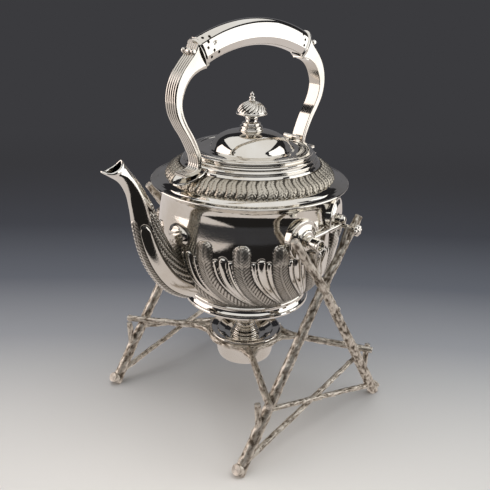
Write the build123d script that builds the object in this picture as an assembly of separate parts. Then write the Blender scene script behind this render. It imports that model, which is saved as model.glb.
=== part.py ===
from build123d import *
import math
import os

# Silver-plated spirit kettle that tips on a rustic branch stand. Millimetres, +Z up.
# The spout points to -X, the near trestle is at -Y. Pieces are modelled about the kettle's axis and
# written with the origin on the floor, under the middle of the overall length.

# Stand
foot_span = 93.6          # stand's middle to a foot, along X
cross_z = 144.5           # height where a trestle's two legs cross
top_reach = 42.7          # stand's middle to a leg's top, along X
top_rise = 56.1           # crossing to a leg's top
leg_r_foot = 5.0
leg_r_cross = 3.7
leg_r_top = 3.4
leg_split = 1.5           # a leg's axis to the trestle's middle plane
trestle_gap = 4.8         # flange edge to the trestle's middle plane
foot_stub_r = 4.8
foot_stub_out = 6.2
twig_r = 2.6              # sawn twig beside each leg that makes the crotch for a cradle arm
twig_z = 35.0
twig_rise = 27.3
twig_lean = 2.7
brace_r = 2.3
brace_low_z = 10.0
brace_high_z = 52.5
brace_split = 1.2

# Lamp cradle
cradle_z = 66.0
cradle_r = 34.6           # ring's middle circle
cradle_wire = 2.6
arm_r = 3.0
arm_seat = 0.5            # depth of the arm's saddle on the leg
arm_drop = 3.0            # ring to the arm's outer end
arm_over = 9.5            # arm's end beyond the trestle's plane
arm_start_deg = 52.0      # plan angle on the ring where an arm leaves it

# Pivot and locking pins
pivot_x = -14.9
pivot_below_flange = 30.3
journal_r = 3.9
running_gap = 0.05
bearing_wall = 1.35
bearing_len = 11.5
journal_len = 11.0
pin_x = 31.9
pin_above_pivot = 2.2
pin_r = 1.6
guide_wall = 1.05
guide_len = 10.6
lug_ball_r = 4.6
lug_gap = 0.5             # pin to the open slot's walls
lug_room = 0.9            # pin to the open slot's roof
hook_reach = 2.2          # hook's legs below the pin's centre
hook_t = 1.7
hook_wide = 5.2
rosette_r = 5.2
rosette_t = 3.0
boss_r = 17.3
rail_r = 1.6

# Kettle
bowl_r = 82.0
seam_rise = 25.0          # bowl's bottom to the seam between its two halves
wall = 1.5
foot_r = 58.0
foot_h = 11.2
foot_top_r = 55.0
flange_over = 6.0         # flange's edge beyond the bowl's widest
flange_above_foot = 112.8
lid_r = 50.4
lid_gap = 0.6
rim_t = 4.6               # lid's edge to the outside of the neck's rim
ledge = 6.9               # lid's edge to the mouth
dome_edge = 14.4          # lid's edge to the dome's foot
dome_h = 16.8
finial_base_h = 13.9
finial_cap_h = 11.0
finial_tip_h = 7.9
neck_flare = 7.0          # neck's rim to its foot on the shoulder
band_in = 0.9             # neck to the foliate band
band_wide = 12.4          # neck's foot to the foliate band's outer edge
flame_gap = 22.0          # lamp cap to the kettle's foot

# Handle
grip_arc_r = 142.3
grip_top = 137.5          # flange plane to the top of the grip
grip_depth = 10.9
grip_width = 8.0
grip_wall = 1.1
grip_half_deg = 24.2
collar_deg = 1.5
arm_width = 13.2
arm_over_grip = 9.0       # grip's centre line to the arm's outer corner
arm_under_grip = 12.0     # grip's centre line to the arm's inner corner
arm_foot = 17.2           # flange plane to the underside of the arm's foot
pad_long = 18.0
pad_wide = 12.0
pad_t = 1.8
pad_tilt = 20.0
pad_out = 6.5             # neck's foot to the pad's middle
arm_out = 17.5            # neck's foot to the arm's curled end

# Lid hinge
hinge_r = 2.1
hinge_pin_r = 0.9
hinge_width = 16.0
hinge_middle = 6.4
hinge_side_gap = 0.3

# Lamp
lamp_r = 27.6
lamp_depth = 21.3
dish_r = 34.8
wick_tube_r = 5.4
seat_gap = 0.3

flange_r = bowl_r + flange_over
neck_rim_r = lid_r + rim_t
neck_r = neck_rim_r + neck_flare
band_r = neck_r + band_wide
mouth_r = lid_r - ledge
dome_r = lid_r - dome_edge
trestle_y = flange_r + trestle_gap
dish_z = cradle_z + cradle_wire + seat_gap
cap_z = dish_z + 4.2
cap_top = cap_z + 12.7
foot_z = cap_top + flame_gap
bowl_z = foot_z + foot_h
flange_z = foot_z + flange_above_foot
pivot_z = flange_z - pivot_below_flange
pin_z = pivot_z + pin_above_pivot
rail_y = trestle_y - leg_split - leg_r_top - rail_r - 3.1
lug_y = rail_y - 2.2
lug_z = pin_z + 4.8
seat_z = flange_z + 27.8  # ledge that the lid rests on
hinge_x = neck_rim_r - 2.0
hinge_z = seat_z + 3.5
side_names = {-1: "near", 1: "far"}
end_names = {-1: "front", 1: "rear"}


def rod(a, b, ra, rb=None):
    """Round bar from a to b, tapering when rb is given."""
    start = Vector(*a)
    run = Vector(*b) - start
    low = (Align.CENTER, Align.CENTER, Align.MIN)
    if rb is None or abs(rb - ra) < 1e-6:
        bar = Cylinder(ra, run.length, align=low)
    else:
        bar = Cone(ra, rb, run.length, align=low)
    return Plane(origin=start, z_dir=run.normalized()) * bar


def branch(points, radii):
    """Tapered bars joined by round knees."""
    body = rod(points[0], points[1], radii[0], radii[1])
    for i in range(1, len(points) - 1):
        body += Pos(*points[i]) * Sphere(radii[i])
        body += rod(points[i], points[i + 1], radii[i], radii[i + 1])
    return body


def turned(profile):
    """Solid of revolution about Z from (radius, height) corners."""
    outline = Polyline([(r, 0, z) for r, z in profile], close=True)
    return revolve(make_face(outline), Axis.Z, 360)


def solid_of(shape):
    """Largest solid of a cut, so that a crumb left behind a joint is dropped."""
    return max(shape.solids(), key=lambda s: s.volume)


# ---------------------------------------------------------------- kettle body

def bowl_curve(offset):
    """Bowl's side from the foot up to the flange, moved inwards by offset."""
    points = [
        (foot_top_r, bowl_z),
        (bowl_r - 9.0, bowl_z + 21.5),
        (bowl_r - 1.7, bowl_z + 43.5),
        (bowl_r, bowl_z + 59.0),
        (bowl_r - 1.2, bowl_z + 73.0),
        (bowl_r - 3.2, flange_z - 13.0),
        (bowl_r - 1.4, flange_z - 4.2),
    ]
    return [(r - offset, z) for r, z in points] + [(flange_r - 2.0 - offset, flange_z)]


def bowl_solid(offset, bottom):
    """Filled bowl with its flat bottom at the given height."""
    side = bowl_curve(offset)
    curve = Spline([(r, 0, z) for r, z in side])
    r0, z0 = side[0]
    lines = Polyline([(0, 0, flange_z), (0, 0, bottom), (r0 - 4.0, 0, bottom), (r0, 0, z0)])
    top = Line((side[-1][0], 0, flange_z), (0, 0, flange_z))
    return revolve(make_face([curve, lines, top]), Axis.Z, 360)


def shoulder_profile():
    top = [
        (flange_r - 0.8, flange_z),
        (flange_r, flange_z + 1.0),
        (flange_r - 0.8, flange_z + 2.0),
        (flange_r - 5.5, flange_z + 2.4),
        (flange_r - 6.2, flange_z + 3.4),
        (band_r + 0.1, flange_z + 5.6),
        (neck_r, flange_z + 15.2),
        (neck_r - 5.0, flange_z + 18.0),
    ]
    under = [
        (neck_r - 6.0, flange_z + 16.8),
        (neck_r - 1.0, flange_z + 13.8),
        (band_r - 0.6, flange_z + 4.2),
        (flange_r - 7.0, flange_z + 1.6),
        (flange_r - 3.5, flange_z),
    ]
    return top + under


def slope_z(r):
    """Height of the shoulder's cone at radius r."""
    return flange_z + 5.6 + (band_r + 0.1 - r) * 9.6 / (band_r + 0.1 - neck_r)


def band():
    inner = neck_r + band_in
    return turned([
        (inner, slope_z(inner)),
        (band_r, slope_z(band_r)),
        (band_r - 0.5, flange_z + 8.4),
        (band_r - 2.9, flange_z + 11.6),
        (band_r - 6.9, flange_z + 14.6),
        (inner, flange_z + 17.4),
    ])


def neck():
    rim = neck_rim_r
    return turned([
        (neck_r - 5.0, flange_z + 18.0),
        (neck_r, flange_z + 15.2),
        (neck_r + 0.3, flange_z + 17.4),
        (neck_r - 1.5, flange_z + 19.6),
        (neck_r - 2.8, flange_z + 20.0),
        (neck_r - 2.4, flange_z + 21.8),
        (neck_r - 3.8, flange_z + 22.8),
        (neck_r - 4.4, flange_z + 23.2),
        (neck_r - 4.1, flange_z + 24.7),
        (neck_r - 5.6, flange_z + 25.8),
        (rim - 0.8, flange_z + 26.4),
        (rim, seat_z + 0.6),
        (rim - 0.6, seat_z + 1.4),
        (lid_r + lid_gap, seat_z + 1.4),
        (lid_r + lid_gap, seat_z),
        (mouth_r, seat_z),
        (mouth_r, seat_z - 1.5),
        (rim - 3.0, seat_z - 1.5),
        (rim - 0.6, flange_z + 21.4),
        (neck_r - 6.2, flange_z + 18.4),
    ])


def foot_ring():
    z = foot_z
    return turned([
        (foot_r - 8.0, z),
        (foot_r, z),
        (foot_r + 0.3, z + 1.0),
        (foot_r, z + 2.0),
        (foot_r - 1.6, z + 2.8),
        (foot_r - 0.9, z + 5.0),
        (foot_r - 1.4, z + 7.4),
        (foot_top_r + 0.4, z + 9.0),
        (foot_top_r, bowl_z),
        (foot_top_r - 4.0, bowl_z - 2.5),
        (foot_top_r - 5.6, bowl_z - 2.5),
    ])


# Spout: x from the bowl's widest (minus is outwards), z from the foot, heading, half height and half width
# of each section.
spout_sections = [
    (23.2, 28.4, 148, 14.6, 12.5),
    (11.2, 33.7, 143, 15.1, 11.8),
    (-4.1, 43.6, 132, 14.8, 10.6),
    (-19.2, 62.1, 120, 14.0, 9.8),
    (-28.2, 80.6, 113, 12.9, 9.0),
    (-33.9, 98.9, 107, 11.2, 8.0),
    (-38.2, 115.6, 107, 9.0, 7.2),
    (-43.7, 129.3, 118, 6.9, 6.4),
    (-50.8, 139.7, 120, 6.3, 6.0),
    (-61.5, 149.2, 102, 9.6, 5.2),
]
spout_wall = 1.1
shell_wide = 28.0
shell_tall = 20.0
shell_out = 6.0
shell_rise = 68.5


def spout_loft(offset):
    rings = []
    for x, z, heading, tall, wide in spout_sections:
        a = math.radians(heading)
        normal = (math.cos(a), 0, math.sin(a))
        plane = Plane(origin=(x - bowl_r, 0, foot_z + z), x_dir=(0, 1, 0), z_dir=normal)
        rings.append(plane * Ellipse(wide - offset, tall - offset))
    return loft(rings)


def spout_shell():
    """Domed shell on the bowl's wall above the spout's root."""
    dome = scale(Sphere(1.0), by=(shell_out, shell_wide / 2, shell_tall / 2))
    return Pos(-bowl_r + 0.8, 0, bowl_z + shell_rise) * dome


def boss_plate(side, x, z, reach):
    """Stepped round plate, turned to face square off the trestle's side."""
    face = bowl_r - 1.2
    steps = rod((x, side * (face - 14.0), z), (x, side * face, z), boss_r)
    steps += rod((x, side * face, z), (x, side * (face + 1.6), z), boss_r - 1.2, boss_r - 5.0)
    steps += rod((x, side * face, z), (x, side * (face + reach), z), boss_r - 8.4)
    return steps


def rear_boss(side):
    """Round plate square to the bowl's wall, with the neck that carries the lug."""
    away = Vector(pin_x, side * lug_y, 0).normalized()
    z = lug_z + 2.6
    near = away * (bowl_r - 10.0)
    face = away * (bowl_r + 0.8)
    tip = away * (bowl_r + 2.4)
    plate = rod((near.X, near.Y, z), (face.X, face.Y, z), boss_r - 0.8)
    plate += rod((face.X, face.Y, z), (tip.X, tip.Y, z), boss_r - 2.2, boss_r - 6.0)
    return plate


def rear_lug(side):
    """Ball-ended hook that drops over the locking pin: its slot is open below."""
    half = pin_r + lug_gap
    roof = pin_z + pin_r + lug_room
    ball = Pos(pin_x, side * lug_y, lug_z) * Sphere(lug_ball_r)
    root = rod((pin_x - 3.0, side * (bowl_r - 14.0), lug_z + 0.6), (pin_x, side * lug_y, lug_z), 3.4, 3.0)
    tall = roof + hook_t - pin_z + hook_reach
    hook = Pos(pin_x, side * lug_y, pin_z - hook_reach + tall / 2) * Box(2 * (half + hook_t), hook_wide, tall)
    slot = Pos(pin_x, side * (lug_y + 0.5), roof - 10.0) * Box(2 * half, 15.0, 20.0)
    return ball + root + hook - slot


def side_rail(side):
    """Stay between the pivot boss and the rear lug."""
    y = side * rail_y
    end_x = pin_x - pin_r - lug_gap - 0.9
    return rod((pivot_x, y, pivot_z), (end_x, side * (rail_y - 0.6), pin_z + 0.8), rail_r)


# ---------------------------------------------------------------- handle

# An arm's two edges: distance from the axis, and share of the way from the foot up to the grip's end.
arm_outer = [
    (65.0, 1.0), (69.6, 0.925), (75.2, 0.869), (81.6, 0.795), (86.0, 0.712), (88.2, 0.600), (86.6, 0.494),
    (81.8, 0.398), (74.6, 0.293), (68.9, 0.187), (66.0, 0.118), (65.8, 0.071), (68.4, 0.044), (73.5, 0.033),
    (79.5, 0.029),
]
arm_inner = [
    (56.6, 1.0), (61.0, 0.991), (66.6, 0.965), (71.4, 0.930), (75.6, 0.877), (79.4, 0.793), (81.3, 0.705),
    (80.2, 0.609), (76.0, 0.498), (69.8, 0.384), (65.0, 0.265), (61.8, 0.165), (61.2, 0.086), (63.6, 0.028),
    (70.0, 0.005), (79.5, 0.0),
]


def arm_edge(rows, reach):
    """Edge points in the XZ plane, with the last row's place taken from the grip's end."""
    tilt = math.radians(grip_half_deg + collar_deg)
    centre_z = flange_z + grip_top - grip_arc_r - grip_depth
    top_x = reach * math.sin(tilt)
    foot_z = flange_z + arm_foot
    rise = centre_z + reach * math.cos(tilt) - foot_z
    top_shift = top_x - rows[0][0]
    foot_shift = neck_r + arm_out - rows[-1][0]
    return [(x + foot_shift + (top_shift - foot_shift) * share, foot_z + rise * share) for x, share in rows]


def handle_arm(end):
    outer = arm_edge(arm_outer, grip_arc_r + arm_over_grip)
    inner = arm_edge(arm_inner, grip_arc_r - arm_under_grip)
    out_curve = Spline([(end * x, 0, z) for x, z in outer])
    in_curve = Spline([(end * x, 0, z) for x, z in inner])
    top = Line((end * outer[0][0], 0, outer[0][1]), (end * inner[0][0], 0, inner[0][1]))
    tip = Line((end * outer[-1][0], 0, outer[-1][1]), (end * inner[-1][0], 0, inner[-1][1]))
    face = make_face([out_curve, in_curve, top, tip])
    return extrude(face, arm_width / 2, dir=(0, 1, 0), both=True)


def arc_sweep(section, from_deg, to_deg):
    """Turn a section about the grip's own centre line, angles from the top."""
    centre_z = flange_z + grip_top - grip_arc_r - grip_depth
    axis = Axis((0, 0, centre_z), (0, 1, 0))
    placed = Pos(0, 0, centre_z + grip_arc_r) * (Rot(0, 90, 0) * section)
    start = placed.rotate(axis, from_deg)
    return revolve(start, axis, to_deg - from_deg)


def grip():
    shell = Ellipse(grip_depth, grip_width) - Ellipse(grip_depth - grip_wall, grip_width - grip_wall)
    return arc_sweep(shell, -grip_half_deg, grip_half_deg)


def grip_collar(end):
    plate = Ellipse(grip_depth + 1.6, grip_width + 1.2)
    if end < 0:
        return arc_sweep(plate, -grip_half_deg - collar_deg, -grip_half_deg)
    return arc_sweep(plate, grip_half_deg, grip_half_deg + collar_deg)


def pad(end):
    """Dished oval foot of a handle arm, seated on the shoulder by a round boss."""
    x = neck_r + pad_out
    z = flange_z + 16.8
    tilted = Pos(end * x, 0, z) * Rot(0, end * pad_tilt, 0)
    plate = tilted * extrude(Ellipse(pad_long, pad_wide), pad_t / 2, both=True)
    seat = tilted * (Pos(0, 0, -4.0) * Cylinder(6.5, 8.0))
    return plate + seat


# ---------------------------------------------------------------- lid

def lid_dome():
    z = seat_z + seat_gap
    r = lid_r
    d, h = dome_r, dome_h
    return turned([
        (r, z),
        (r, z + 1.2),
        (r - 1.0, z + 1.5),
        (r - 3.2, z + 1.3),
        (d + 0.6, z + 0.9),
        (d - 0.6, z + 1.6),
        (0.955 * d, z + 0.27 * h),
        (0.865 * d, z + 0.53 * h),
        (0.685 * d, z + 0.775 * h),
        (0.39 * d, z + 0.955 * h),
        (0, z + h),
        (0, z + h - 1.3),
        (0.37 * d, z + 0.955 * h - 1.3),
        (0.655 * d, z + 0.775 * h - 1.3),
        (0.825 * d, z + 0.53 * h - 1.0),
        (0.915 * d, z + 0.27 * h - 0.6),
        (d - 1.9, z),
    ])


def lid_bezel():
    z = seat_z + seat_gap
    return turned([(mouth_r - 1.5, z), (mouth_r - 1.5, z - 5.5),
                   (mouth_r - 2.6, z - 5.5), (mouth_r - 2.6, z)])


def finial_base():
    z = seat_z + seat_gap + dome_h
    return turned([
        (0, z - 0.0), (10.6, z - 0.36), (10.8, z + 1.0), (9.5, z + 1.7), (9.8, z + 2.9), (9.4, z + 3.8),
        (7.9, z + 4.5), (8.2, z + 5.7), (7.6, z + 6.5), (5.5, z + 7.2), (5.2, z + 10.4), (5.8, z + 11.6),
        (5.6, z + 12.8), (4.0, z + finial_base_h), (0, z + finial_base_h),
    ])


def finial_cap():
    z = seat_z + seat_gap + dome_h + finial_base_h
    return turned([
        (0, z), (4.0, z), (9.0, z - 0.8), (13.2, z - 0.4), (13.6, z + 0.8), (12.8, z + 3.4),
        (10.6, z + 6.8), (6.8, z + 9.6), (2.6, z + 10.9), (0, z + finial_cap_h),
    ])


def finial_tip():
    z = seat_z + seat_gap + dome_h + finial_base_h + finial_cap_h
    return turned([
        (0, z), (2.4, z - 0.2), (3.0, z + 0.6), (2.2, z + 1.4), (2.8, z + 2.4), (2.6, z + 3.6),
        (1.3, z + 4.4), (1.8, z + 5.6), (1.0, z + 7.3), (0, z + finial_tip_h),
    ])


def knuckle(y0, y1):
    return rod((hinge_x, y0, hinge_z), (hinge_x, y1, hinge_z), hinge_r)


def hinge_bore():
    return rod((hinge_x, -hinge_width, hinge_z), (hinge_x, hinge_width, hinge_z), hinge_pin_r + running_gap)


def neck_leaf():
    """Two outer knuckles on a block that sits on the neck's rim."""
    out = hinge_width / 2
    inside = hinge_middle / 2 + hinge_side_gap
    leaf = knuckle(-out, -inside) + knuckle(inside, out)
    for sign in (-1, 1):
        middle = sign * (out + inside) / 2
        leaf += Pos(hinge_x - 0.1, middle, seat_z + 2.0) * Box(3.2, out - inside, 3.0)
    base = Pos(hinge_x + 2.1, 0, seat_z + 0.6) * Box(1.4, hinge_width, 5.6)
    return leaf + base - hinge_bore() - knuckle_room()


def knuckle_room():
    half = hinge_middle / 2 + hinge_side_gap
    return rod((hinge_x, -half, hinge_z), (hinge_x, half, hinge_z), hinge_r + seat_gap)


def lid_leaf():
    """Middle knuckle with a strap that lies on the lid's brim."""
    half = hinge_middle / 2
    strap_x = hinge_x - 4.9
    strap = Pos(strap_x - 1.5, 0, seat_z + 2.55) * Box(9.0, hinge_middle, 1.4)
    riser = Pos(hinge_x - 1.6, 0, hinge_z - 0.6) * Box(3.2, hinge_middle, 1.6)
    return knuckle(-half, half) + strap + riser - hinge_bore()


# ---------------------------------------------------------------- lamp

def lamp_reservoir():
    top = dish_z - 5.9
    low = top - lamp_depth
    r = lamp_r
    return turned([
        (0, low), (r - 4.0, low), (r - 1.8, low + 1.4), (r - 0.3, low + 8.0), (r, top),
        (r - 1.4, top), (r - 1.7, low + 8.2), (r - 3.0, low + 2.6), (0, low + 1.4),
    ])


def lamp_cover():
    z = dish_z
    r = lamp_r
    return turned([
        (r - 2.6, z - 5.9), (r + 1.0, z - 5.9), (r + 1.3, z - 1.6), (dish_r - 1.8, z), (dish_r, z + 0.2),
        (dish_r, z + 1.6), (dish_r - 1.8, z + 2.0), (29.5, z + 0.8), (20.0, z - 3.4), (14.5, z - 4.9),
        (13.2, z - 4.4), (13.2, z - 2.2), (11.5, z - 1.7), (11.5, z + 1.2), (10.0, z + 1.8),
        (10.0, cap_z - seat_gap), (wick_tube_r, cap_z - seat_gap), (wick_tube_r, z - 7.0), (14.0, z - 6.8),
        (20.0, z - 5.2), (r - 2.6, z - 3.0),
    ])


def wick_tube():
    low = dish_z - 18.0
    high = cap_z + 6.2
    r = wick_tube_r
    return turned([(r - 1.1, low), (r, low), (r, high), (r - 1.1, high)])


def wick():
    return Pos(0, 0, dish_z - 21.0) * Cylinder(wick_tube_r - 1.1, cap_z + 10.0 - (dish_z - 21.0),
                                               align=(Align.CENTER, Align.CENTER, Align.MIN))


def snuffer_cap():
    z = cap_z
    inner = wick_tube_r + 0.8
    return turned([
        (inner, z), (9.6, z), (9.6, z + 2.0), (8.6, z + 2.6), (8.6, z + 4.4), (9.2, z + 5.0),
        (9.2, z + 6.2), (8.0, z + 7.0), (7.6, z + 9.4), (5.0, z + 12.0), (2.0, cap_top),
        (0, cap_top), (0, z + 11.3), (4.4, z + 10.6), (inner, z + 9.0),
    ])


# ---------------------------------------------------------------- stand

def leg_y(side, end):
    """Rear-footed legs cross on the outside."""
    return side * (trestle_y + end * leg_split)


def leg_x(end, z):
    """Leg's axis at height z: end is the side its foot is on."""
    if z <= cross_z:
        return end * foot_span * (1 - z / cross_z)
    return -end * top_reach * (z - cross_z) / top_rise


def plain_leg(side, end):
    y = leg_y(side, end)
    points = [(end * foot_span, y, 0), (0, y, cross_z), (-end * top_reach, y, cross_z + top_rise)]
    return branch(points, [leg_r_foot, leg_r_cross, leg_r_top])


def leg(side, end):
    """Branch with its sawn foot stub, its crotch twig and its upper fork twig."""
    y = leg_y(side, end)
    body = plain_leg(side, end)
    heel = (leg_x(end, 3.6), y, 3.6)
    slope = math.atan2(cross_z, foot_span)
    out = (heel[0] + end * foot_stub_out * math.sin(slope), y, heel[2] + foot_stub_out * math.cos(slope))
    body += rod(heel, out, foot_stub_r)
    root = (leg_x(end, twig_z), y, twig_z)
    body += rod(root, (root[0] + end * twig_lean, y, twig_z + twig_rise), twig_r)
    low = cross_z + 18.5
    if end > 0:
        body += rod((leg_x(end, low), y, low), (pivot_x, y, pivot_z), 2.4, 2.0)
        body -= bearing_blank(side)
    else:
        guide_left = pin_x - pin_r - running_gap - guide_wall
        body += rod((leg_x(end, low + 8.0), y, low + 8.0), (guide_left - 1.8, y, pin_z + 1.5), 2.2, 1.9)
        body -= guide_blank(side)
    floor = Pos(0, 0, -20) * Box(400, 400, 40)
    return solid_of(body - floor)


def bearing_blank(side):
    y0 = side * (trestle_y - bearing_len / 2)
    y1 = side * (trestle_y + bearing_len / 2)
    return rod((pivot_x, y0, pivot_z), (pivot_x, y1, pivot_z), journal_r + running_gap + bearing_wall)


def guide_blank(side):
    y0 = side * (trestle_y - guide_len / 2)
    y1 = side * (trestle_y + guide_len / 2)
    return rod((pin_x, y0, pin_z), (pin_x, y1, pin_z), pin_r + running_gap + guide_wall)


def bearing(side):
    hole = rod((pivot_x, 0, pivot_z), (pivot_x, side * 200, pivot_z), journal_r + running_gap)
    return bearing_blank(side) - hole


def pin_guide(side):
    hole = rod((pin_x, 0, pin_z), (pin_x, side * 200, pin_z), pin_r + running_gap)
    return guide_blank(side) - hole


def brace(side, end):
    """Thin stay from one leg's foot to the other leg's flank."""
    y = side * (trestle_y + end * brace_split)
    return rod((leg_x(end, brace_low_z), y, brace_low_z),
               (leg_x(-end, brace_high_z), y, brace_high_z), brace_r)


def cradle_arm(side, end):
    """Branch from the lamp ring that lies in the crotch of one leg."""
    a = math.radians(arm_start_deg)
    start = Vector(end * cradle_r * math.cos(a), side * cradle_r * math.sin(a), cradle_z)
    z = cradle_z - arm_drop
    y = leg_y(side, end)
    slope = math.atan2(cross_z, foot_span)
    up = Vector(-end * math.cos(slope), 0, math.sin(slope))
    axis_x = leg_x(end, z)
    t = z / cross_z
    leg_r = leg_r_foot + (leg_r_cross - leg_r_foot) * t
    reach = leg_r + arm_r - arm_seat
    heading = (Vector(axis_x, y, z) - start).normalized()
    normal = up.cross(heading)
    shift = reach * normal.length / abs(normal.X)
    at_leg = Vector(axis_x + end * shift, y, z)
    run = at_leg - start
    tip = start + run * ((abs(y) + arm_over - abs(start.Y)) / abs(run.Y))
    return rod((start.X, start.Y, start.Z), (tip.X, tip.Y, tip.Z), arm_r)


# ---------------------------------------------------------------- build

def kettle_nodes():
    nodes = {}
    envelope = bowl_solid(0, bowl_z - 2.5)
    hollow = bowl_solid(wall, bowl_z - 1.0)
    bore = spout_loft(spout_wall)
    shoulder = turned(shoulder_profile())
    foliage = band()
    collar = neck()
    vessel = envelope - hollow - bore
    seam = Pos(0, 0, bowl_z + seam_rise)
    above = Box(400, 400, 200, align=(Align.CENTER, Align.CENTER, Align.MIN))
    nodes["bowl"] = solid_of(vessel & seam * above)
    below = Box(400, 400, 200, align=(Align.CENTER, Align.CENTER, Align.MAX))
    nodes["bowl_base"] = solid_of(vessel & seam * below)
    nodes["foot_ring"] = foot_ring() - envelope
    nodes["shoulder_plate"] = shoulder
    nodes["shoulder_band"] = foliage
    nodes["neck_collar"] = collar
    nodes["spout"] = solid_of(spout_loft(0) - bore - envelope)
    nodes["spout_shell"] = solid_of(spout_shell() - envelope)
    nodes["handle_grip"] = grip()
    for end, word in end_names.items():
        plate = solid_of(pad(end) - shoulder - foliage - collar)
        nodes["handle_pad_" + word] = plate
        nodes["handle_arm_" + word] = solid_of(handle_arm(end) - plate - foliage - collar)
        nodes["grip_collar_" + word] = grip_collar(end)
    for side, word in side_names.items():
        front = boss_plate(side, pivot_x, pivot_z, 3.6) - envelope
        lug = rear_lug(side) - envelope
        rear = rear_boss(side) - envelope - lug
        axle_y = side * (bowl_r + 2.4)
        axle_end = side * (trestle_y + journal_len / 2 - 2.4)
        axle = rod((pivot_x, axle_y, pivot_z), (pivot_x, axle_end, pivot_z), journal_r)
        nodes["pivot_boss_" + word] = solid_of(front)
        nodes["trunnion_" + word] = axle
        nodes["rear_boss_" + word] = solid_of(rear)
        nodes["rear_lug_" + word] = solid_of(lug)
        rail = side_rail(side) - axle - lug - front - rear - envelope
        nodes["side_rail_" + word] = solid_of(rail)
    nodes["hinge_leaf_neck"] = neck_leaf() - collar
    nodes["hinge_pin"] = rod((hinge_x, -hinge_width / 2, hinge_z), (hinge_x, hinge_width / 2, hinge_z), hinge_pin_r)
    return nodes


def lid_nodes():
    dome = lid_dome()
    return {
        "lid_dome": dome,
        "lid_bezel": lid_bezel(),
        "hinge_leaf_lid": solid_of(lid_leaf() - dome),
        "finial_base": finial_base() - dome,
        "finial_cap": finial_cap(),
        "finial_tip": finial_tip() - finial_cap(),
    }


def pin_nodes():
    nodes = {}
    for side, word in side_names.items():
        inner = side * (lug_y - 1.4)
        outer = side * (trestle_y + guide_len / 2 + 0.5)
        nodes["pin_" + word] = rod((pin_x, inner, pin_z), (pin_x, outer, pin_z), pin_r)
        disc = rod((pin_x, outer, pin_z), (pin_x, outer + side * rosette_t, pin_z), rosette_r, rosette_r - 1.4)
        nodes["pin_rosette_" + word] = disc
    return nodes


def lamp_nodes():
    return {
        "lamp_reservoir": lamp_reservoir(),
        "lamp_cover": lamp_cover(),
        "wick_tube": wick_tube(),
        "wick": wick(),
        "snuffer_cap": snuffer_cap(),
    }


def stand_nodes():
    nodes = {}
    ring = Pos(0, 0, cradle_z) * Torus(cradle_r, cradle_wire)
    nodes["cradle_ring"] = ring
    for side, word in side_names.items():
        outer_leg = leg(side, 1)
        inner_leg = solid_of(leg(side, -1) - plain_leg(side, 1))
        nodes["leg_rear_" + word] = outer_leg
        nodes["leg_front_" + word] = inner_leg
        outer_brace = solid_of(brace(side, 1) - outer_leg - inner_leg)
        inner_brace = solid_of(brace(side, -1) - outer_leg - inner_leg - outer_brace)
        nodes["brace_rear_" + word] = outer_brace
        nodes["brace_front_" + word] = inner_brace
        nodes["bearing_" + word] = bearing(side)
        nodes["pin_guide_" + word] = pin_guide(side)
        for end, which in end_names.items():
            own_leg = outer_leg if end > 0 else inner_leg
            arm = cradle_arm(side, end) - ring - own_leg
            nodes["cradle_arm_" + which + "_" + word] = solid_of(arm)
    return nodes


def main():
    os.makedirs("parts", exist_ok=True)
    pieces = {}
    for group in (kettle_nodes(), lid_nodes(), pin_nodes(), lamp_nodes(), stand_nodes()):
        pieces.update(group)
    boxes = [shape.bounding_box() for shape in pieces.values()]
    middle = round((min(box.min.X for box in boxes) + max(box.max.X for box in boxes)) / 2, 1)
    for name, shape in pieces.items():
        export_step(Pos(-middle, 0, 0) * shape, "parts/" + name + ".step")
    print(len(pieces), "nodes, kettle's axis at X", -middle)
    print("pivot", pivot_x - middle, pivot_z, "lid hinge", hinge_x - middle, hinge_z)


main()
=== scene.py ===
import bmesh
import bpy
import math
import numpy as np
from mathutils import Matrix, Vector


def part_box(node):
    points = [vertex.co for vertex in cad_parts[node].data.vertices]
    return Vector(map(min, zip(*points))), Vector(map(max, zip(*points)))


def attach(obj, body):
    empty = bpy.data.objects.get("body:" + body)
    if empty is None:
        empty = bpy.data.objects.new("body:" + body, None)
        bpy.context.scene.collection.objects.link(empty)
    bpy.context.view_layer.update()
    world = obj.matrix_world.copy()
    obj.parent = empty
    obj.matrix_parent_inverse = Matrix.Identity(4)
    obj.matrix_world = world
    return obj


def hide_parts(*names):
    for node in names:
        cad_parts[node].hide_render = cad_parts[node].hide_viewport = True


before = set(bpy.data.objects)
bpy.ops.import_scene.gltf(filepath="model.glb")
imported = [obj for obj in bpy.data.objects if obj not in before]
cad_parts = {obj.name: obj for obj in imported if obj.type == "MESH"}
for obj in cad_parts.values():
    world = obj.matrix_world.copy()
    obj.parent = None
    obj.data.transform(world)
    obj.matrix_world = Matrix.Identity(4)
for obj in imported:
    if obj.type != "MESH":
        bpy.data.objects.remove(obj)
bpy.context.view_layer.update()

mm = 0.001
bowlLow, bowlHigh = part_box("bowl")
axisX = (bowlLow.x + bowlHigh.x) / 2      # the kettle's upright axis: every length below is mm from it
print("frame loaded, kettle's axis at", round(axisX / mm, 2), "mm")


# small tools
def toLinear(hexText):
    parts = [int(hexText[i:i + 2], 16) / 255 for i in (1, 3, 5)]
    return tuple(c / 12.92 if c <= 0.04045 else ((c + 0.055) / 1.055) ** 2.4 for c in parts) + (1.0,)


def feed(tree, node, links):
    # each input takes a plain value, a socket, or a node whose first output is meant
    for key, value in links.items():
        if isinstance(value, bpy.types.Node):
            value = value.outputs[0]
        if isinstance(value, bpy.types.NodeSocket):
            tree.links.new(value, node.inputs[key])
        else:
            node.inputs[key].default_value = value


def addNode(tree, kind, links=None, **settings):
    families = ("Geometry", "Function", "Shader") if tree.type == "GEOMETRY" else ("Shader",)
    family = next(word for word in families if hasattr(bpy.types, word + "Node" + kind))
    node = tree.nodes.new(family + "Node" + kind)
    for key, value in settings.items():
        setattr(node, key, value)
    feed(tree, node, links or {})
    return node


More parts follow.
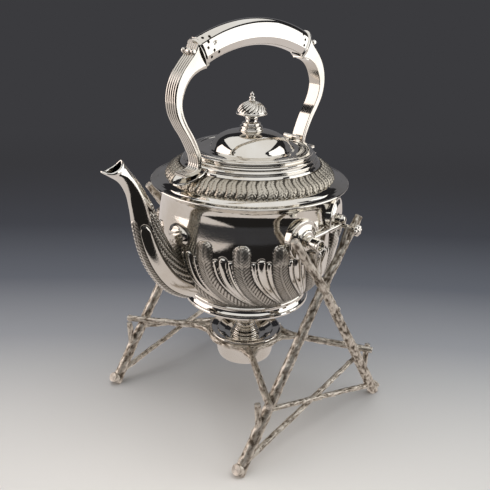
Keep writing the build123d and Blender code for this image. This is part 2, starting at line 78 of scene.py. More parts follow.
def newMaterial(name, metal=False):
    material = bpy.data.materials.new(name)
    material.use_nodes = True
    tree = material.node_tree
    if not metal:
        tree.nodes.clear()
        return material, tree
    shader = tree.nodes["Principled BSDF"]
    shader.inputs["Metallic"].default_value = 1.0
    return material, tree, shader


def newObject(name, data):
    thing = bpy.data.objects.new(name, data)
    bpy.context.scene.collection.objects.link(thing)
    return thing


def markPoints(mesh, label, values):
    mesh.attributes.new(label, "FLOAT", "POINT").data.foreach_set("value", np.asarray(values, float).ravel())


def smoothRows(rows, count):
    # even samples along a smooth curve through the rows, spaced by their first two numbers
    rows = np.array(rows, float)
    gaps = np.linalg.norm(np.diff(rows[:, :2], axis=0), axis=1)
    knots = np.concatenate([[0], np.cumsum(gaps)])
    slopes = np.gradient(rows, knots, axis=0)
    at = np.linspace(0, knots[-1], count)
    i = np.clip(np.searchsorted(knots, at, side="right") - 1, 0, len(knots) - 2)
    span = (knots[i + 1] - knots[i])[:, None]
    t = (at - knots[i])[:, None] / span
    a, b, fromA, toB = rows[i], rows[i + 1], slopes[i] * span, slopes[i + 1] * span
    return (2 * t**3 - 3 * t**2 + 1) * a + (t**3 - 2 * t**2 + t) * fromA + (3 * t**2 - 2 * t**3) * b + (
        t**3 - t**2) * toB


def smoothStep(low, high, x):
    t = np.clip((np.asarray(x, float) - low) / (high - low), 0, 1)
    return t * t * (3 - 2 * t)


def rounded(profile, radius, steps=3):
    # softens each corner of a closed outline, with a support point either side so that flats stay flat
    result = []
    count = len(profile)
    for i, corner in enumerate(profile):
        here = Vector(corner[:2])
        before, after = Vector(profile[i - 1][:2]) - here, Vector(profile[(i + 1) % count][:2]) - here
        if here.x < 1e-6 or before.length < 1e-6 or after.length < 1e-6:
            result.append(tuple(here))
            continue
        turnBy = math.pi - before.angle(after)
        if turnBy < 0.16:
            result.append(tuple(here))
            continue
        cut = min(radius * math.tan(turnBy / 2), 0.4 * before.length, 0.4 * after.length)
        start, end = here + before.normalized() * cut, here + after.normalized() * cut
        if before.length > 5 * cut:
            result.append(tuple(here + before.normalized() * cut * 1.8))
        for k in range(steps + 1):
            t = k / steps
            result.append(tuple(start * (1 - t) ** 2 + here * 2 * t * (1 - t) + end * t * t))
        if after.length > 5 * cut:
            result.append(tuple(here + after.normalized() * cut * 1.8))
    return result


def aim(origin, direction):
    return Matrix.Translation(Vector(origin)) @ Vector(direction).to_track_quat("Z", "Y").to_matrix().to_4x4()


def moved(points, matrix):
    grid = np.array(matrix)
    return np.asarray(points, float) @ grid[:3, :3].T + grid[:3, 3]


def joined(*parts):
    points, faces, start = [], [], 0
    for own, ownFaces in parts:
        points.append(np.asarray(own, float))
        faces += [tuple(i + start for i in face) for face in ownFaces]
        start += len(own)
    return np.vstack(points), faces


def gridFaces(rows, columns, wrapRows=False, wrapColumns=True, start=0):
    lastRow, lastColumn = rows if wrapRows else rows - 1, columns if wrapColumns else columns - 1
    return [(start + i * columns + j, start + i * columns + (j + 1) % columns,
        start + (i + 1) % rows * columns + (j + 1) % columns, start + (i + 1) % rows * columns + j)
        for i in range(lastRow) for j in range(lastColumn)]


def poleFaces(rows, columns, low, high):
    # fans that close a grid's first and last rows on two single points
    last = (rows - 1) * columns
    return [(j, (j + 1) % columns, low) for j in range(columns)] + [(last + (j + 1) % columns, last + j,
        high) for j in range(columns)]


def turn(profile, steps=96, place=None, stretch=(1, 1, 1)):
    # closed outline of (radius, height) turned about the upright axis, poles shared
    angles = [2 * math.pi * i / steps for i in range(steps)]
    points, rings, faces = [], [], []
    for radius, height in profile:
        rings.append(list(range(len(points), len(points) + (1 if radius < 1e-6 else steps))))
        if radius < 1e-6:
            points.append((0, 0, height))
        else:
            points += [(radius * math.cos(a), radius * math.sin(a), height) for a in angles]
    for a, b in zip(rings, rings[1:] + rings[:1]):
        for i in range(steps):
            j = (i + 1) % steps
            if len(a) > 1 and len(b) > 1:
                faces.append((a[i], a[j], b[j], b[i]))
            elif len(b) > 1:
                faces.append((a[0], b[j], b[i]))
            elif len(a) > 1:
                faces.append((a[i], a[j], b[0]))
    points = np.array(points) * np.array(stretch)
    return (points if place is None else moved(points, place)), faces


def makeMesh(name, part, marks=None):
    places = np.array(part[0], float) * mm
    places[:, 0] += axisX
    mesh = bpy.data.meshes.new(name)
    mesh.from_pydata(places.tolist(), [], part[1])
    for label, values in (marks or {}).items():
        markPoints(mesh, label, values)
    return mesh


def dressPiece(name, mesh, material, body, nodes, sharp=40):
    builder = bmesh.new()
    builder.from_mesh(mesh)
    bmesh.ops.recalc_face_normals(builder, faces=builder.faces)
    builder.to_mesh(mesh)
    builder.free()
    mesh.shade_smooth()
    mesh.set_sharp_from_angle(angle=math.radians(sharp))
    mesh.materials.clear()
    for one in material if isinstance(material, (list, tuple)) else [material]:
        mesh.materials.append(one)
    piece = newObject(name, mesh)
    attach(piece, body)
    if nodes:
        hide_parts(*nodes)
    return piece


def makePiece(name, part, material, body, nodes=(), marks=None, sharp=40):
    return dressPiece(name, makeMesh(name, part, marks), material, body, nodes, sharp)


def newTree(name, inputs):
    tree = bpy.data.node_groups.new(name, "GeometryNodeTree")
    tree.interface.new_socket("Geometry", in_out="INPUT", socket_type="NodeSocketGeometry")
    for label, kind, value in inputs:
        socket = tree.interface.new_socket(label, in_out="INPUT", socket_type="NodeSocket" + kind)
        if value is not None:
            socket.default_value = value
    tree.interface.new_socket("Geometry", in_out="OUTPUT", socket_type="NodeSocketGeometry")
    return tree, tree.nodes.new("NodeGroupInput"), tree.nodes.new("NodeGroupOutput")


def settle(name, mesh, tree, values):
    # runs a tree on the mesh and returns the result as a plain mesh
    carrier = newObject(name + ".path", mesh)
    modifier = carrier.modifiers.new(tree.name, "NODES")
    modifier.node_group = tree
    for item in tree.interface.items_tree:
        if item.in_out == "INPUT" and item.name in values:
            modifier[item.identifier] = values[item.name]
    graph = bpy.context.evaluated_depsgraph_get()
    result = bpy.data.meshes.new_from_object(carrier.evaluated_get(graph), depsgraph=graph)
    result.name = name
    carrier.modifiers.clear()
    bpy.data.objects.remove(carrier)
    return result


# finishes
# Silver plate on nickel silver. Silver is a nearly neutral, faintly warm metal: a buffed face mirrors the
# room, and what is left dark in the hollows is sulphide patina.
silverFinishes = {
    "polishedSilverPlate": {"tone": "#EAE7E1", "haze": "#DDD7CC", "rough": (0.03, 0.075), "wave": 0.14,
        "chased": False,
                            "grain": 0.0},
    "chasedSilverPlate": {"tone": "#EAE7E0", "haze": "#DAD3C7", "rough": (0.04, 0.10), "wave": 0.10,
        "chased": True,
                          "grain": 0.04},
    "castSilverFoliage": {"tone": "#D2CCBF", "haze": "#BFB7A8", "rough": (0.22, 0.34), "wave": 0.0,
        "chased": True,
                          "grain": 0.12},
    "satinSilverPlate": {"tone": "#DEDAD2", "haze": "#CFC9BE", "rough": (0.20, 0.30), "wave": 0.06,
        "chased": False,
                         "grain": 0.03},
    "agedSilverReeding": {"tone": "#E6E2DA", "haze": "#D3CCC0", "rough": (0.07, 0.15), "wave": 0.05,
        "chased": True,
                          "grain": 0.03},
}


def silverMaterial(name):
    finish = silverFinishes[name]
    material, tree, shader = newMaterial(name, metal=True)
    place = addNode(tree, "TexCoord").outputs["Object"]
    # handling haze in patches about 45 mm across
    haze = addNode(tree, "TexNoise", {"Vector": place, "Scale": 22.0, "Detail": 5.0, "Roughness": 0.6})
    patchy = addNode(tree, "MapRange", {"Value": haze, "From Min": 0.35, "From Max": 0.72})
    colour = addNode(tree, "Mix", {0: patchy, 6: toLinear(finish["tone"]), 7: toLinear(finish["haze"])},
        data_type="RGBA").outputs[2]
    low, high = finish["rough"]
    rough = addNode(tree, "MapRange", {"Value": haze, "From Min": 0.3, "From Max": 0.75, "To Min": low,
        "To Max": high}).outputs[0]
    normal = None
    if finish["chased"]:
        # recess: where patina stays; matt: where the punch has broken the polish
        mark = addNode(tree, "Attribute", attribute_name="recess").outputs["Fac"]
        matt = addNode(tree, "Attribute", attribute_name="matt").outputs["Fac"]
        speck = addNode(tree, "TexNoise", {"Vector": place, "Scale": 750.0, "Detail": 3.0})   # 1.3 mm
        spread = addNode(tree, "Math", {0: speck, 1: 0.7, 2: -0.35}, operation="MULTIPLY_ADD")
        spreadMatt = addNode(tree, "Math", {0: spread, 1: matt}, operation="MULTIPLY")
        depth = addNode(tree, "Math", {0: mark, 1: spreadMatt}, operation="ADD")
        dark = addNode(tree, "MapRange", {"Value": depth, "From Min": 0.12, "From Max": 0.80, "To Min": 0.0,
            "To Max": 0.93}, interpolation_type="SMOOTHSTEP")
        colour = addNode(tree, "Mix", {0: dark, 6: colour, 7: toLinear("#2E2923")},
            data_type="RGBA").outputs[2]
        dull = addNode(tree, "Math", {0: matt, 1: 0.3}, operation="MULTIPLY")
        colour = addNode(tree, "Mix", {0: dull, 6: colour, 7: toLinear("#8C8476")},
            data_type="RGBA").outputs[2]
        rough = addNode(tree, "Mix", {0: matt, 2: rough, 3: 0.3}, data_type="FLOAT").outputs[0]
        rough = addNode(tree, "Mix", {0: dark, 2: rough, 3: 0.5}, data_type="FLOAT").outputs[0]
        punch = addNode(tree, "Math", {0: matt, 1: 0.75}, operation="MULTIPLY")
        normal = addNode(tree, "Bump", {"Height": speck, "Distance": 0.28 * mm, "Strength": punch}).outputs[0]
    feed(tree, shader, {"Base Color": colour, "Roughness": rough})
    if finish["wave"]:
        # hand-raised metal is never quite true: swells about 30 mm apart
        swell = addNode(tree, "TexNoise", {"Vector": place, "Scale": 32.0, "Detail": 1.0})
        wave = addNode(tree, "Bump", {"Height": swell, "Distance": finish["wave"] * mm, "Strength": 1.0})
        if normal is not None:
            feed(tree, wave, {"Normal": normal})
        normal = wave.outputs[0]
    if finish["grain"]:
        # tool marks near 1.1 mm, coarser than the real ones so that they show
        pits = addNode(tree, "TexNoise", {"Vector": place, "Scale": 900.0})
        bump = addNode(tree, "Bump", {"Height": pits, "Distance": finish["grain"] * mm, "Strength": 0.8})
        if normal is not None:
            feed(tree, bump, {"Normal": normal})
        normal = bump.outputs[0]
    if normal is not None:
        feed(tree, shader, {"Normal": normal})
    return material


def barkMaterial():
    # cast silver, matt from the mould and oxidised: bright only where the ridges are rubbed
    material, tree, shader = newMaterial("oxidisedBarkSilver", metal=True)
    place = addNode(tree, "TexCoord").outputs["Object"]
    ridge = addNode(tree, "Attribute", attribute_name="ridge").outputs["Fac"]
    speck = addNode(tree, "TexNoise", {"Vector": place, "Scale": 420.0, "Detail": 4.0, "Roughness": 0.65})
    cloud = addNode(tree, "TexNoise", {"Vector": place, "Scale": 55.0})   # 18 mm patches
    mixed = addNode(tree, "Math", {0: speck, 1: 0.9, 2: -0.45}, operation="MULTIPLY_ADD")
    level = addNode(tree, "Math", {0: ridge, 1: mixed}, operation="ADD")
    shifted = addNode(tree, "Math", {0: cloud, 1: 0.2, 2: -0.04}, operation="MULTIPLY_ADD")
    total = addNode(tree, "Math", {0: level, 1: shifted}, operation="ADD")
    ramp = addNode(tree, "ValToRGB", {"Fac": total})
    ramp.color_ramp.elements[0].position = 0.06
    ramp.color_ramp.elements[0].color = toLinear("#665C50")
    ramp.color_ramp.elements[1].position = 0.80
    ramp.color_ramp.elements[1].color = toLinear("#DDD6CA")
    ramp.color_ramp.elements.new(0.26).color = toLinear("#948A7D")
    ramp.color_ramp.elements.new(0.48).color = toLinear("#B7AEA1")
    rough = addNode(tree, "MapRange", {"Value": total, "From Min": 0.2, "From Max": 0.9, "To Min": 0.62,
        "To Max": 0.42})
    fine = addNode(tree, "Bump", {"Height": speck, "Distance": 0.35 * mm, "Strength": 0.8})
    feed(tree, shader, {"Base Color": ramp, "Roughness": rough, "Normal": fine})
    return material


def sawnMaterial():
    # the sawn ends of the branches are filed bright, with year rings cut about 0.9 mm apart
    material, tree, shader = newMaterial("sawnSilverEnd", metal=True)
    ring = addNode(tree, "Attribute", attribute_name="ring").outputs["Fac"]
    place = addNode(tree, "TexCoord").outputs["Object"]
    speck = addNode(tree, "TexNoise", {"Vector": place, "Scale": 500.0, "Detail": 3.0})
    wobble = addNode(tree, "Math", {0: speck, 1: 0.5, 2: ring}, operation="MULTIPLY_ADD")
    wave = addNode(tree, "Math", {0: wobble, 1: 2 * math.pi / 0.9}, operation="MULTIPLY")
    line = addNode(tree, "Math", {0: wave}, operation="SINE")
    dark = addNode(tree, "MapRange", {"Value": line, "From Min": -1.0, "From Max": -0.1, "To Min": 0.75,
        "To Max": 0.0})
    colour = addNode(tree, "Mix", {0: dark, 6: toLinear("#E4DDD2"), 7: toLinear("#8A7F72")}, data_type="RGBA")
    fine = addNode(tree, "Bump", {"Height": line, "Distance": 0.12 * mm, "Strength": 0.7})
    feed(tree, shader, {"Base Color": colour.outputs[2], "Normal": fine})
    shader.inputs["Roughness"].default_value = 0.3
    return material


def wickMaterial():
    # braided cotton, charred where it burns: strands about 0.8 mm wide
    material = bpy.data.materials.new("braidedCottonWick")
    material.use_nodes = True
    tree = material.node_tree
    shader = tree.nodes["Principled BSDF"]
    place = addNode(tree, "TexCoord").outputs["Object"]
    strands = addNode(tree, "TexWave", {"Vector": place, "Scale": 380.0, "Distortion": 2.5},
        bands_direction="DIAGONAL")
    height = addNode(tree, "SeparateXYZ", {0: place}).outputs[2]
    char = addNode(tree, "MapRange", {"Value": height, "From Min": 0.0785, "From Max": 0.0825})
    cotton = addNode(tree, "Mix", {0: strands.outputs[1], 6: toLinear("#B9AE97"), 7: toLinear("#E2DAC6")},
        data_type="RGBA")
    colour = addNode(tree, "Mix", {0: char, 6: cotton.outputs[2], 7: toLinear("#1D1A17")}, data_type="RGBA")
    bump = addNode(tree, "Bump", {"Height": strands.outputs[1], "Distance": 0.4 * mm, "Strength": 0.8})
    feed(tree, shader, {"Base Color": colour.outputs[2], "Normal": bump})
    shader.inputs["Roughness"].default_value = 0.95
    return material


polished, chased, foliage, satin, reeded = (silverMaterial(name) for name in silverFinishes)
bark, sawn, cotton = barkMaterial(), sawnMaterial(), wickMaterial()
print("finishes made")


# chased bowl: swirling lobes between acanthus columns, on a raised wall
bowlForm = {
    "outside": [(55.0, 119.0), (62.5, 126.6), (69.0, 134.2), (73.6, 141.4), (77.6, 150.5), (80.3, 162.5),
        (81.8, 172.0),
                (82.0, 180.0), (81.3, 189.0), (80.0, 198.0), (78.9, 206.0), (79.2, 212.0), (81.2, 216.6),
                (86.0, 220.6)],
    "wall": 1.5, "columns": 640, "innerColumns": 128, "rowsBelow": 8, "rowsChased": 120, "rowsAbove": 13,
    "chasedFrom": 127.5, "chasedTo": 190.5,
    "units": 16, "leafAt": -137.8, "lobeGap": 4.45, "lobeHalf": (1.55, 2.6), "lobeTop": (174.3, 177.2),
    "lobeCap": (2.6, 4.0), "lobeRise": (1.2, 1.9), "groove": 0.5, "swirlFrom": 174.0, "swirl": 0.005,
        "swirlPower": 2.15,
    "leafRise": 1.0, "leaflet": 2.9, "curlAt": 182.0, "curlRadius": 6.8, "curlRise": 2.5, "fade": (120.5,
        127.0),
    "spoutHole": (10, 134.0, 152.0),
}


def bowlRelief(theta, z, radius):
    f = bowlForm
    perDegree = radius * math.pi / 180
    pitch = 360 / f["units"]
    shift = f["swirl"] * np.clip(f["swirlFrom"] - z, 0, None) ** f["swirlPower"]
    d = (theta - shift - f["leafAt"] + pitch / 2) % pitch - pitch / 2
    x = d * perDegree
    height, dark = np.zeros_like(d), np.zeros_like(d)
    # three convex lobes between two leaves, drawn together towards the foot
    narrow = 0.5 + 0.5 * smoothStep(120, 164, z)
    for centre, half, top, cap, rise in ((pitch / 2 - f["lobeGap"] * narrow, f["lobeHalf"][0],
            f["lobeTop"][0], f["lobeCap"][0], f["lobeRise"][0]), (pitch / 2, f["lobeHalf"][1],
            f["lobeTop"][1], f["lobeCap"][1], f["lobeRise"][1])):
        t = np.abs(np.abs(d) - centre) / (half * narrow)
        above = np.clip(z - (top - cap), 0, None) / cap
        reach = np.sqrt(t**2 + above**2)
        lobe = rise * narrow * np.clip(1 - reach**2.2, 0, 1) ** 0.6
        edge = np.exp(-((reach - 1.06) / 0.16) ** 2)
        height = np.where(reach < 1, np.maximum(height, lobe), height) - f["groove"] * edge
        dark = np.maximum(dark, 0.95 * np.exp(-((reach - 1.05) / 0.12) ** 2))
    # acanthus column: midrib, herringbone leaflets and a domed, curled tip
    edgeAt = (pitch / 2 - f["lobeGap"] * narrow - f["lobeHalf"][0] * narrow - 0.3) * perDegree
    tuck = smoothStep(168, 180, z)
    halfWidth = edgeAt * (1 - tuck) + f["curlRadius"] * tuck
    over = np.clip((z - f["curlAt"]) / f["curlRadius"], 0, 1)
    beat = ((z - 0.95 * np.abs(x)) / f["leaflet"]) % 1.0
    halfWidth = halfWidth * np.sqrt(1 - over**2) * (1 + 0.05 * np.cos(2 * math.pi * beat) * (z > 166)) + 1e-3
    across = np.abs(x) / halfWidth
    inLeaf = (across < 1) & (z < f["curlAt"] + f["curlRadius"])
    dome = np.sqrt(np.clip(1 - across**2, 0, 1))
    swell = np.sqrt(np.clip(1 - ((z - 180.5) / 9.5) ** 2, 0, 1))
    leaflet = np.sin(math.pi * beat) ** 0.8
    rib = np.exp(-(x / 0.7) ** 2)
    besideRib = np.exp(-((np.abs(x) - 1.35) / 0.45) ** 2)
    ripple = 0.10 * np.sin(4.1 * x + 1.7 * z) * np.sin(3.3 * z - 2.3 * x)
    leaf = 0.2 + f["leafRise"] * 0.6 * dome + 0.55 * leaflet + 0.4 * rib - 0.25 * besideRib + ripple
    leaf = leaf + f["curlRise"] * swell * dome * (z > 171)
    leafDark = 0.18 + 0.72 * smoothStep(0.45, 0.95, np.abs(2 * beat - 1)) + 0.3 * besideRib - 0.5 * rib
    leafDark = leafDark * (1 - 0.35 * swell * dome) + 0.15 * smoothStep(0.6, 1.0, across)
    height = np.where(inLeaf, leaf, height)
    dark = np.where(inLeaf, leafDark, dark)
    dark = np.maximum(dark, 0.9 * np.exp(-((across - 1.02) / 0.07) ** 2) * (z < 189.5))
    keep = smoothStep(f["fade"][0], f["fade"][1], z)
    stippled = 1 - smoothStep(125, 138, z)
    scatter = np.random.default_rng(7).uniform(-1, 1, d.shape)
    matt = np.clip(np.where(inLeaf, 1.0, 0.0) * smoothStep(1.0, 0.9, across) + 0.8 * stippled, 0, 1)
    dark = np.clip(dark * keep + stippled * (0.2 + 0.25 * scatter), 0, 1)
    return height * keep + 0.06 * scatter * stippled, dark, matt


def chasedBowl():
    f = bowlForm
    curve = smoothRows(f["outside"], 900)
    z = np.concatenate([np.linspace(119.0, f["chasedFrom"], f["rowsBelow"]),
        np.linspace(f["chasedFrom"], f["chasedTo"], f["rowsChased"])[1:],
        np.linspace(f["chasedTo"], 220.6, f["rowsAbove"] + 1)[1:]])
    r = np.interp(z, curve[:, 1], curve[:, 0])
    slope = np.gradient(r, z)
    nr, nz = 1 / np.sqrt(1 + slope**2), -slope / np.sqrt(1 + slope**2)
    cols, inCols = f["columns"], f["innerColumns"]
    theta = np.arange(cols) * 360 / cols
    gridT, gridZ = np.meshgrid(theta, z)
    gridR = np.repeat(r[:, None], cols, axis=1)
    height, dark, matt = bowlRelief(gridT, gridZ, gridR)
    height[-6:] *= np.linspace(1, 0, 6)[:, None]
    outR, outZ = gridR + height * nr[:, None], gridZ + height * nz[:, None]
    rad = np.radians(gridT)
    outer = np.stack([outR * np.cos(rad), outR * np.sin(rad), outZ], -1).reshape(-1, 3)
    rows = len(z)
    inZ = np.concatenate([np.linspace(121.5, 216.0, 36), [220.6]])
    inR = np.interp(inZ, curve[:, 1], curve[:, 0]) - f["wall"] * 1.05
    inR[-1] = 84.3
    inT = np.radians(np.arange(inCols) * 360 / inCols)
    inner = np.stack([inR[:, None] * np.cos(inT), inR[:, None] * np.sin(inT),
        np.repeat(inZ[:, None], inCols, 1)], -1)
    points = np.vstack([outer, inner.reshape(-1, 3), [[0, 0, 116.5], [0, 0, 118.0]]])
    base = rows * cols
    bottom, floor = base + len(inZ) * inCols, base + len(inZ) * inCols + 1
    step = cols // inCols
    # opening into the spout: the same block of both walls is left out, and its rim closed
    half, lowZ, highZ = f["spoutHole"]
    c0, c1 = cols // 2 - half, cols // 2 + half
    r0, r1 = int(np.searchsorted(z, lowZ)), int(np.searchsorted(z, highZ))
    k0, k1 = c0 // step, c1 // step
    q0, q1 = int(np.searchsorted(inZ, lowZ)), int(np.searchsorted(inZ, highZ))
    faces = []
    for i in range(rows - 1):
        for j in range(cols):
            if not (r0 <= i < r1 and c0 <= j < c1):
                n = (j + 1) % cols
                faces.append((i * cols + j, i * cols + n, (i + 1) * cols + n, (i + 1) * cols + j))
    for i in range(len(inZ) - 1):
        for j in range(inCols):
            if not (q0 <= i < q1 and k0 <= j < k1):
                n = (j + 1) % inCols
                a, b = base + i * inCols, base + (i + 1) * inCols
                faces.append((a + j, b + j, b + n, a + n))
    top, topIn = (rows - 1) * cols, base + (len(inZ) - 1) * inCols
    for j in range(inCols):
        n = (j + 1) % inCols
        faces.append(tuple(top + (j * step + s) % cols for s in range(step + 1)) + (topIn + n, topIn + j))
        faces.append(tuple((j * step + s) % cols for s in range(step, -1, -1)) + (bottom,))
        faces.append((base + j, base + n, floor))
    for k in range(k0, k1):
        outLow = tuple(r0 * cols + k * step + s for s in range(step + 1))
        outHigh = tuple(r1 * cols + k * step + s for s in range(step, -1, -1))
        faces.append(outLow + (base + q0 * inCols + k + 1, base + q0 * inCols + k))
        faces.append(outHigh + (base + q1 * inCols + k, base + q1 * inCols + k + 1))
    for column, inColumn in ((c0, k0), (c1, k1)):
        outSide = tuple(i * cols + column for i in range(r0, r1 + 1))
        faces.append(outSide + tuple(base + i * inCols + inColumn for i in range(q1, q0 - 1, -1)))
    rest = np.zeros(len(points) - rows * cols)
    marks = {"recess": np.concatenate([dark.ravel(), rest]), "matt": np.concatenate([matt.ravel(), rest])}
    makePiece("chasedBowl", (points, faces), chased, "kettle", ("bowl", "bowl_base"), marks=marks, sharp=60)


chasedBowl()
print("bowl chased")


# turned and spun pieces: closed outlines of (radius, height)
domeRun = [tuple(p) for p in smoothRows([(36.0, 250.3), (35.2, 251.6), (34.0, 254.0), (31.0, 257.7),
    (24.7, 261.8), (14.0, 264.8), (0.0, 265.5)], 36)]
domeUnder = [tuple(p) for p in smoothRows([(0.0, 264.2), (13.3, 263.4), (23.6, 260.4), (29.7, 256.6),
    (32.9, 252.6), (34.1, 248.7)], 20)]
domeRun[-1], domeUnder[0] = (0.0, 265.5), (0.0, 264.2)
shoulderRun = [tuple(p) for p in smoothRows([(81.2, 224.0), (79.4, 224.8), (74.5, 226.2), (68.0, 231.0),
    (62.0, 235.8)], 12)]
turnedPieces = {
    "kettleFoot": {"node": "foot_ring", "body": "kettle", "soften": 0.3, "steps": 160, "outline": [
        (50.0, 107.8), (57.4, 107.8), (58.1, 108.5), (58.3, 109.8), (57.9, 111.0), (56.9, 111.7), (56.3,
        112.3),
        (55.5, 113.4), (55.0, 114.8), (55.0, 116.0), (55.5, 116.9), (56.1, 117.3), (56.4, 118.2), (55.9,
        119.0),
        (55.0, 119.5), (53.4, 119.2), (51.0, 116.4), (49.4, 116.4)]},
    "shoulderPlate": {"node": "shoulder_plate", "body": "kettle", "soften": 0.45, "steps": 192, "outline": [
        (85.6, 220.6), (87.3, 220.7), (88.0, 221.6), (87.4, 222.5), (86.3, 222.5), (85.6, 222.3), (82.2,
        222.9),
        (81.7, 223.4)] + shoulderRun + [(57.0, 238.6), (56.0, 237.4), (61.0, 234.4), (73.8, 224.8), (81.0,
        222.2),
                                        (84.5, 220.6)]},
    "neckRing": {"node": "neck_collar", "body": "kettle", "soften": 0.4, "steps": 160, "outline": [
        (57.0, 238.6), (62.0, 235.8), (62.4, 237.0), (62.3, 238.2), (61.4, 239.5), (60.4, 240.0), (59.3,
        240.5),
        (59.2, 241.0), (59.8, 241.7), (59.5, 242.5), (58.3, 243.3), (57.4, 243.7), (57.6, 244.5), (57.8,
        245.2),
        (57.0, 246.1), (54.4, 246.8), (54.3, 247.8), (55.0, 248.5), (55.0, 249.2), (54.4, 249.8), (51.0,
        249.8),
        (51.0, 248.4), (43.5, 248.4), (43.5, 246.9), (52.0, 246.9), (54.4, 242.0), (55.8, 239.0)]},
    "lidDome": {"node": "lid_dome", "body": "lid", "soften": 0.4, "steps": 160, "outline": [
        (50.2, 248.7), (50.4, 249.2), (50.3, 249.8), (49.6, 250.3), (47.4, 250.1), (46.9, 249.6), (46.2,
        249.9),
        (43.6, 250.1), (41.0, 249.8), (38.6, 249.4), (36.9, 249.6)] + domeRun + domeUnder},
    "lidBezel": {"node": "lid_bezel", "body": "lid", "soften": 0.2, "steps": 128, "outline": [
        (42.0, 248.7), (42.0, 243.6), (41.6, 243.2), (40.9, 243.4), (40.9, 248.7)]},
    "finialFoot": {"node": "finial_base", "body": "lid", "soften": 0.3, "steps": 64, "outline": [
        (0, 265.5), (10.6, 265.2), (10.9, 265.9), (10.5, 266.6), (9.5, 267.0), (9.3, 267.5), (9.9, 268.2),
        (9.8, 269.0),
        (8.9, 269.5), (8.0, 269.9), (7.8, 270.4), (8.3, 271.1), (8.0, 271.8), (6.4, 272.3), (5.5, 272.9),
        (5.2, 274.2),
        (5.3, 275.6), (5.9, 276.4), (5.9, 277.4), (5.2, 278.2), (5.6, 278.8), (4.0, 279.4), (0, 279.4)]},
    "finialTip": {"node": "finial_tip", "body": "lid", "soften": 0.25, "steps": 40, "outline": [
        (0, 290.4), (2.4, 290.2), (3.0, 290.9), (2.7, 291.6), (2.0, 291.9), (2.2, 292.3), (2.8, 292.8), (2.8,
        293.7),
        (2.2, 294.3), (1.3, 294.7), (1.4, 295.1), (1.8, 295.8), (1.6, 296.6), (1.1, 297.2), (0.7, 297.8), (0,
        298.2)]},
    "lampBowl": {"node": "lamp_reservoir", "body": "lamp", "soften": 0.5, "steps": 128, "finish": "satin",
        "outline": [
        (0, 41.7), (23.4, 41.7), (25.0, 42.4), (25.9, 43.4), (26.8, 46.0), (27.3, 49.7), (27.6, 63.0), (26.2,
        63.0),
        (25.9, 49.9), (24.6, 44.3), (23.0, 43.1), (0, 43.1)]},
    "lampShoulder": {"node": "lamp_cover", "body": "lamp", "soften": 0.35, "steps": 128, "outline": [
        (25.0, 63.0), (28.5, 63.0), (28.8, 64.0), (28.6, 65.6), (29.4, 67.4), (32.6, 68.7), (34.4, 69.0),
        (34.8, 69.7),
        (34.5, 70.6), (33.0, 70.9), (30.8, 70.1), (29.4, 69.7), (27.2, 68.9), (26.2, 69.2), (24.6, 68.1),
        (20.0, 65.6),
        (14.5, 64.1), (13.2, 64.5), (13.2, 66.7), (12.6, 67.2), (11.5, 67.3), (11.5, 70.0), (10.9, 70.6),
        (10.0, 70.8),
        (10.0, 72.8), (5.45, 72.8), (5.45, 62.0), (14.0, 62.2), (20.0, 63.7), (25.0, 66.0)]},
    "wickSleeve": {"node": "wick_tube", "body": "lamp", "soften": 0.2, "steps": 64, "outline": [
        (4.3, 50.9), (5.4, 50.9), (5.4, 79.3), (4.3, 79.3)]},
    "wickCord": {"node": "wick", "body": "lamp", "soften": 0.6, "steps": 40, "finish": "cotton", "outline": [
        (0, 47.9), (4.2, 47.9), (4.2, 80.0), (4.1, 81.6), (3.2, 82.8), (1.6, 83.1), (0, 83.0)]},
    "snufferCap": {"node": "snuffer_cap", "body": "snuffer", "soften": 0.35, "steps": 96, "outline": [
        (6.2, 73.1), (9.4, 73.1), (9.6, 74.0), (9.5, 75.1), (8.7, 75.6), (8.5, 76.4), (8.6, 77.4), (9.2,
        78.0),
        (9.2, 79.2), (8.3, 80.0), (7.9, 81.0), (7.5, 82.6), (6.4, 84.2), (5.0, 85.1), (2.6, 85.7), (0, 85.8),
        (0, 84.4), (4.4, 83.7), (6.2, 82.0)]},
}

finishByWord = {"satin": satin, "cotton": cotton}

for name, form in turnedPieces.items():
    word = form.get("finish")
    makePiece(name, turn(rounded(form["outline"], form["soften"]), form["steps"]),
        finishByWord.get(word, polished), form["body"], (form["node"],),
        sharp=50)
print("turned pieces made")


# finial cap: spiral flutes on a low dome
finialForm = {"flutes": 18, "twist": 58.0, "depth": 1.8, "columns": 288,
              "run": [(12.9, 280.9), (12.8, 281.9), (12.3, 283.4), (11.0, 285.4), (8.8, 287.5), (6.2, 289.1),
                  (3.8, 290.0),
                      (2.4, 290.3)]}


